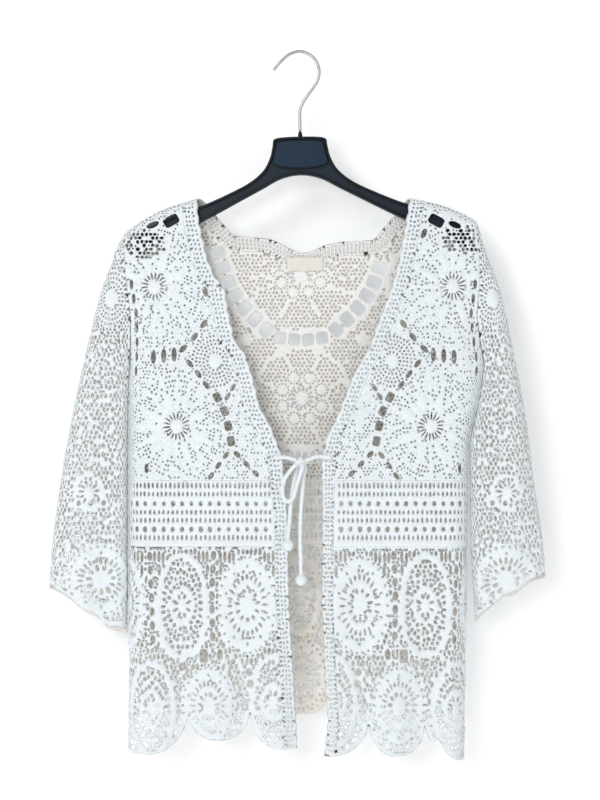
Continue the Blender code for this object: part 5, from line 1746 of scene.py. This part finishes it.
def build_camera():
    """The camera straight in front, which sees FRAME_HEIGHT at the garment."""
    data = bpy.data.cameras.new("front_camera")
    data.lens = data.sensor_width * CAMERA_AWAY / FRAME_HEIGHT
    camera = add_object("front_camera", data)
    camera.location = (FRAME_CENTRE[0], -CAMERA_AWAY, FRAME_CENTRE[1])
    camera.rotation_euler = (math.pi / 2, 0, 0)
    bpy.context.scene.camera = camera


def backdrop(name, corners, finish):
    """A flat piece of the studio."""
    mesh = bpy.data.meshes.new(name)
    mesh.from_pydata(corners, [], [(0, 1, 2, 3)])
    mesh.materials.append(finish)
    add_object(name, mesh)


def build_stage(settings):
    """The wall behind the garment, which doesn't show from behind, the floor, the sky and three lights."""
    scene = bpy.context.scene
    scene.view_settings.view_transform = "Standard"
    material, nodes, links, shader, where = new_material("studio white")
    tone = noise(nodes, links, where, 3.0, 2.0)
    white = tuple(settings.backdrop)
    set_inputs(shader, Emission_Color=(1, 1, 1, 1), Emission_Strength=settings.glow)
    shade = tuple(0.985 * c for c in white)
    links.new(mixed(nodes, links, tone.outputs["Fac"], shade, white), shader.inputs["Base Color"])
    set_inputs(shader, Roughness=0.9, Specular_IOR_Level=0.1)
    through = nodes.new("ShaderNodeBsdfTransparent")
    mix = nodes.new("ShaderNodeMixShader")
    links.new(nodes.new("ShaderNodeNewGeometry").outputs["Backfacing"], mix.inputs["Fac"])
    links.new(shader.outputs["BSDF"], mix.inputs[1])
    links.new(through.outputs["BSDF"], mix.inputs[2])
    links.new(mix.outputs["Shader"], nodes["Material Output"].inputs["Surface"])
    y, low = WALL_BEHIND, FLOOR
    backdrop("studio_wall", [(-4, y, low), (4, y, low), (4, y, 3), (-4, y, 3)], material)
    backdrop("studio_floor", [(-4, -5, low), (4, -5, low), (4, y, low), (-4, y, low)], material)

    world = bpy.data.worlds.new("studio")
    world.use_nodes = True
    sky = world.node_tree.nodes["Background"]
    set_inputs(sky, Color=(1.0, 0.995, 0.99, 1), Strength=settings.fill)
    scene.world = world
    lights = (
        ("key", (-1.1, -1.9, 0.75), 0.7, settings.key),
        ("side", (1.6, -2.4, 0.1), 1.6, settings.side),
        ("front", (-0.65, -2.65, -0.1), 0.7, settings.front),
    )
    for name, spot, size, energy in lights:
        data = bpy.data.lights.new(name, "AREA")
        data.size = size
        data.energy = energy
        light = add_object(name, data)
        light.location = spot
        light.rotation_euler = (Vector(LIT_SPOT) - Vector(spot)).to_track_quat("-Z", "Y").to_euler()


# The add-on

def colour_of(name, description, default):
    """A setting for a colour."""
    return FloatVectorProperty(name=name, description=description, subtype="COLOR", size=3, default=default,
                               min=0, max=1)


def power_of(name, description, default):
    """A setting for the power of a light."""
    return FloatProperty(name=name, description=description, subtype="POWER", default=default, min=0)


class CardiganCrochet(bpy.types.PropertyGroup):
    """Sizes and colour of the crochet."""
    mesh: FloatProperty(name="Net mesh", description="Spacing of the fine net, in millimetres",
                        default=4.2, min=3.6, max=9)
    stitch: FloatProperty(name="Stitch", description="Spacing of stitches on solid crochet, in millimetres",
                          default=2.9, min=2.2, max=5)
    cotton: colour_of("Cotton", "Colour of the yarn", (0.87, 0.93, 0.96))
    # Painted light: the inside colours are the cotton painted paler and warmer, in place of light bounced
    # inside
    inside: colour_of("Inside", "Colour of the yarn inside the garment", (0.95, 0.955, 0.945))
    # Painted light: paler still below the neck opening, to make up for the shade inside there
    inside_low: colour_of("Inside, low", "Colour of the yarn inside, below the neck opening",
                          (0.98, 0.965, 0.93))
    label: colour_of("Label", "Colour of the neck label", (0.86, 0.835, 0.76))


class CardiganHanger(bpy.types.PropertyGroup):
    """Colours of the hanger."""
    moulding: colour_of("Moulding", "Colour of the rim", (0.003, 0.005, 0.009))
    web: colour_of("Web", "Colour inside the rim", (0.006, 0.014, 0.026))
    plate: colour_of("Plate", "Colour of the blank plate", (0.003, 0.018, 0.040))
    steel: colour_of("Hook", "Colour of the hook's plating", (0.50, 0.50, 0.51))


class CardiganStage(bpy.types.PropertyGroup):
    """Light and backdrop."""
    key: power_of("Key light", "Power of the upper left light", 13.0)
    side: power_of("Side light", "Power of the right-hand light", 8.0)
    front: power_of("Front light", "Power of the light beside the camera", 16.0)
    fill: FloatProperty(name="Fill", description="Strength of the light from all round",
                        default=0.39, min=0, max=3)
    glow: FloatProperty(name="Glow", description="Light given off by the backdrop itself",
                        default=0.16, min=0, max=3)
    backdrop: colour_of("Backdrop", "Colour of the wall and floor", (0.97, 0.975, 0.98))


def crochet_finish(settings, lower=True):
    """The yarn outside, and inside, where painted light makes it warmer, and paler below the neck opening."""
    low = ("crochet inside low", settings.inside_low, LOW_PAINTED_SHADE)
    high = ("crochet inside", settings.inside, INNER_PAINTED_SHADE)
    found = []
    for name, colour, painted_shade in (("white crochet", settings.cotton, OUTER_PAINTED_SHADE), low if lower else high):
        found.append(bpy.data.materials.get(name) or cotton(name, colour, 560.0, 0.0004, painted_shade))
    return found


def sheet_of(lace, name, face, settings, node, slot="crochet", sleeve=0, lower=True):
    """Makes one drawn panel into a piece of the garment, in place of its solid."""
    thing = lace_object(name, lace, face, crochet_finish(settings, lower), sleeve, settings.stitch)
    place(thing, slot, node)
    hang(lace)


def build_yokes(settings):
    """The fronts and the back above the waistband."""
    for side, name in SIDES:
        sheet_of(yoke_front(side, settings), "lace_front_yoke_" + name, -1, settings, "front_yoke_" + name)
    sheet_of(yoke_back(), "lace_back_yoke", 1, settings, "back_yoke", lower=False)


def build_waistbands(settings):
    """The waistband, in three stretches."""
    for side, name in SIDES:
        sheet_of(waist_front(side), "lace_waistband_" + name, -1, settings, "front_waistband_" + name)
    sheet_of(waist_back(), "lace_back_waistband", 1, settings, "back_waistband")


def build_peplums(settings):
    """The peplum, in three stretches."""
    for side, name in SIDES:
        sheet_of(peplum_front(side), "lace_peplum_" + name, -1, settings, "front_peplum_" + name)
    sheet_of(peplum_back(), "lace_back_peplum", 1, settings, "back_peplum")


def build_sleeves(settings):
    """The front and back half of each sleeve."""
    for side, name in SIDES:
        for face, half in ((-1, "_front"), (1, "_back")):
            sheet_of(sleeve_half(side, face), "lace_sleeve_" + name + half, face, settings,
                     "sleeve_" + name + half, slot="sleeve", sleeve=side)


def build_edgings(settings):
    """The bands up the front edges and behind the neck."""
    for side, name in SIDES:
        sheet_of(edging_front(side), "lace_edging_" + name, -1, settings, "front_edging_" + name,
                 slot="edging")
    sheet_of(edging_neck(), "lace_neckband", 1, settings, "neck_edging_back",
             slot="edging", lower=False)


class CARDIGAN_OT_camera(bpy.types.Operator):
    """Adds the camera that looks at the cardigan from the front"""
    bl_idname = "cardigan.camera"
    bl_label = "Camera"

    def execute(self, context):
        build_camera()
        return {"FINISHED"}


class CARDIGAN_OT_tie(bpy.types.Operator):
    """Builds the two cords, their knot and their bobbles"""
    bl_idname = "cardigan.tie"
    bl_label = "Tie at the waist"

    def execute(self, context):
        build_tie(context.scene.cardigan_crochet)
        return {"FINISHED"}


class CARDIGAN_OT_yokes(bpy.types.Operator):
    """Builds the lace of the fronts and of the back above the waist"""
    bl_idname = "cardigan.yokes"
    bl_label = "Yokes"

    def execute(self, context):
        build_yokes(context.scene.cardigan_crochet)
        return {"FINISHED"}


class CARDIGAN_OT_waistbands(bpy.types.Operator):
    """Builds the band of slits and round gaps at the waist"""
    bl_idname = "cardigan.waistbands"
    bl_label = "Waistbands"

    def execute(self, context):
        build_waistbands(context.scene.cardigan_crochet)
        return {"FINISHED"}


class CARDIGAN_OT_peplums(bpy.types.Operator):
    """Builds the lace of the peplum with its scalloped hem"""
    bl_idname = "cardigan.peplums"
    bl_label = "Peplums"

    def execute(self, context):
        build_peplums(context.scene.cardigan_crochet)
        return {"FINISHED"}


class CARDIGAN_OT_sleeves(bpy.types.Operator):
    """Builds the front and back of both sleeves"""
    bl_idname = "cardigan.sleeves"
    bl_label = "Sleeves"

    def execute(self, context):
        build_sleeves(context.scene.cardigan_crochet)
        return {"FINISHED"}


class CARDIGAN_OT_edgings(bpy.types.Operator):
    """Builds the bands down the fronts and behind the neck"""
    bl_idname = "cardigan.edgings"
    bl_label = "Edgings"

    def execute(self, context):
        build_edgings(context.scene.cardigan_crochet)
        return {"FINISHED"}


class CARDIGAN_OT_label(bpy.types.Operator):
    """Builds the blank woven label inside the back"""
    bl_idname = "cardigan.label"
    bl_label = "Neck label"

    def execute(self, context):
        build_label(context.scene.cardigan_crochet)
        return {"FINISHED"}


class CARDIGAN_OT_hanger(bpy.types.Operator):
    """Builds the moulded hanger, its plate and its hook"""
    bl_idname = "cardigan.hanger"
    bl_label = "Hanger"

    def execute(self, context):
        build_hanger(context.scene.cardigan_hanger)
        return {"FINISHED"}


class CARDIGAN_OT_stage(bpy.types.Operator):
    """Adds the wall, the floor and the lights"""
    bl_idname = "cardigan.stage"
    bl_label = "Stage"

    def execute(self, context):
        build_stage(context.scene.cardigan_stage)
        return {"FINISHED"}


class CARDIGAN_PT_panel(bpy.types.Panel):
    """Sizes, colours and builders of the cardigan"""
    bl_label = "Crochet cardigan"
    bl_idname = "CARDIGAN_PT_panel"
    bl_space_type = "VIEW_3D"
    bl_region_type = "UI"
    bl_category = "Cardigan"

    def draw(self, context):
        scene = context.scene
        for name, group in GROUPS.items():
            box = self.layout.box()
            for prop in group.__annotations__:
                box.prop(getattr(scene, name), prop)
        column = self.layout.column(align=True)
        for builder in BUILDERS:
            column.operator(builder.bl_idname)


GROUPS = {
    "cardigan_crochet": CardiganCrochet,
    "cardigan_hanger": CardiganHanger,
    "cardigan_stage": CardiganStage,
}
BUILDERS = (
    CARDIGAN_OT_camera, CARDIGAN_OT_tie, CARDIGAN_OT_yokes, CARDIGAN_OT_waistbands, CARDIGAN_OT_peplums,
    CARDIGAN_OT_sleeves, CARDIGAN_OT_edgings, CARDIGAN_OT_label, CARDIGAN_OT_hanger, CARDIGAN_OT_stage,
)


def register():
    """Adds the settings, the builders and the panel to Blender."""
    for group in GROUPS.values():
        bpy.utils.register_class(group)
    for name, group in GROUPS.items():
        setattr(bpy.types.Scene, name, PointerProperty(type=group))
    for builder in (*BUILDERS, CARDIGAN_PT_panel):
        bpy.utils.register_class(builder)


def unregister():
    """Takes them out again."""
    for builder in reversed((*BUILDERS, CARDIGAN_PT_panel)):
        bpy.utils.unregister_class(builder)
    for name in GROUPS:
        delattr(bpy.types.Scene, name)
    for group in reversed(GROUPS.values()):
        bpy.utils.unregister_class(group)


def main():
    """Registers the add-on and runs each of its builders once."""
    register()
    bpy.ops.cardigan.camera()
    bpy.ops.cardigan.tie()
    bpy.ops.cardigan.yokes()
    bpy.ops.cardigan.waistbands()
    bpy.ops.cardigan.peplums()
    bpy.ops.cardigan.sleeves()
    bpy.ops.cardigan.edgings()
    bpy.ops.cardigan.label()
    bpy.ops.cardigan.hanger()
    bpy.ops.cardigan.stage()
    bpy.context.view_layer.update()


if __name__ == "__main__":
    main()
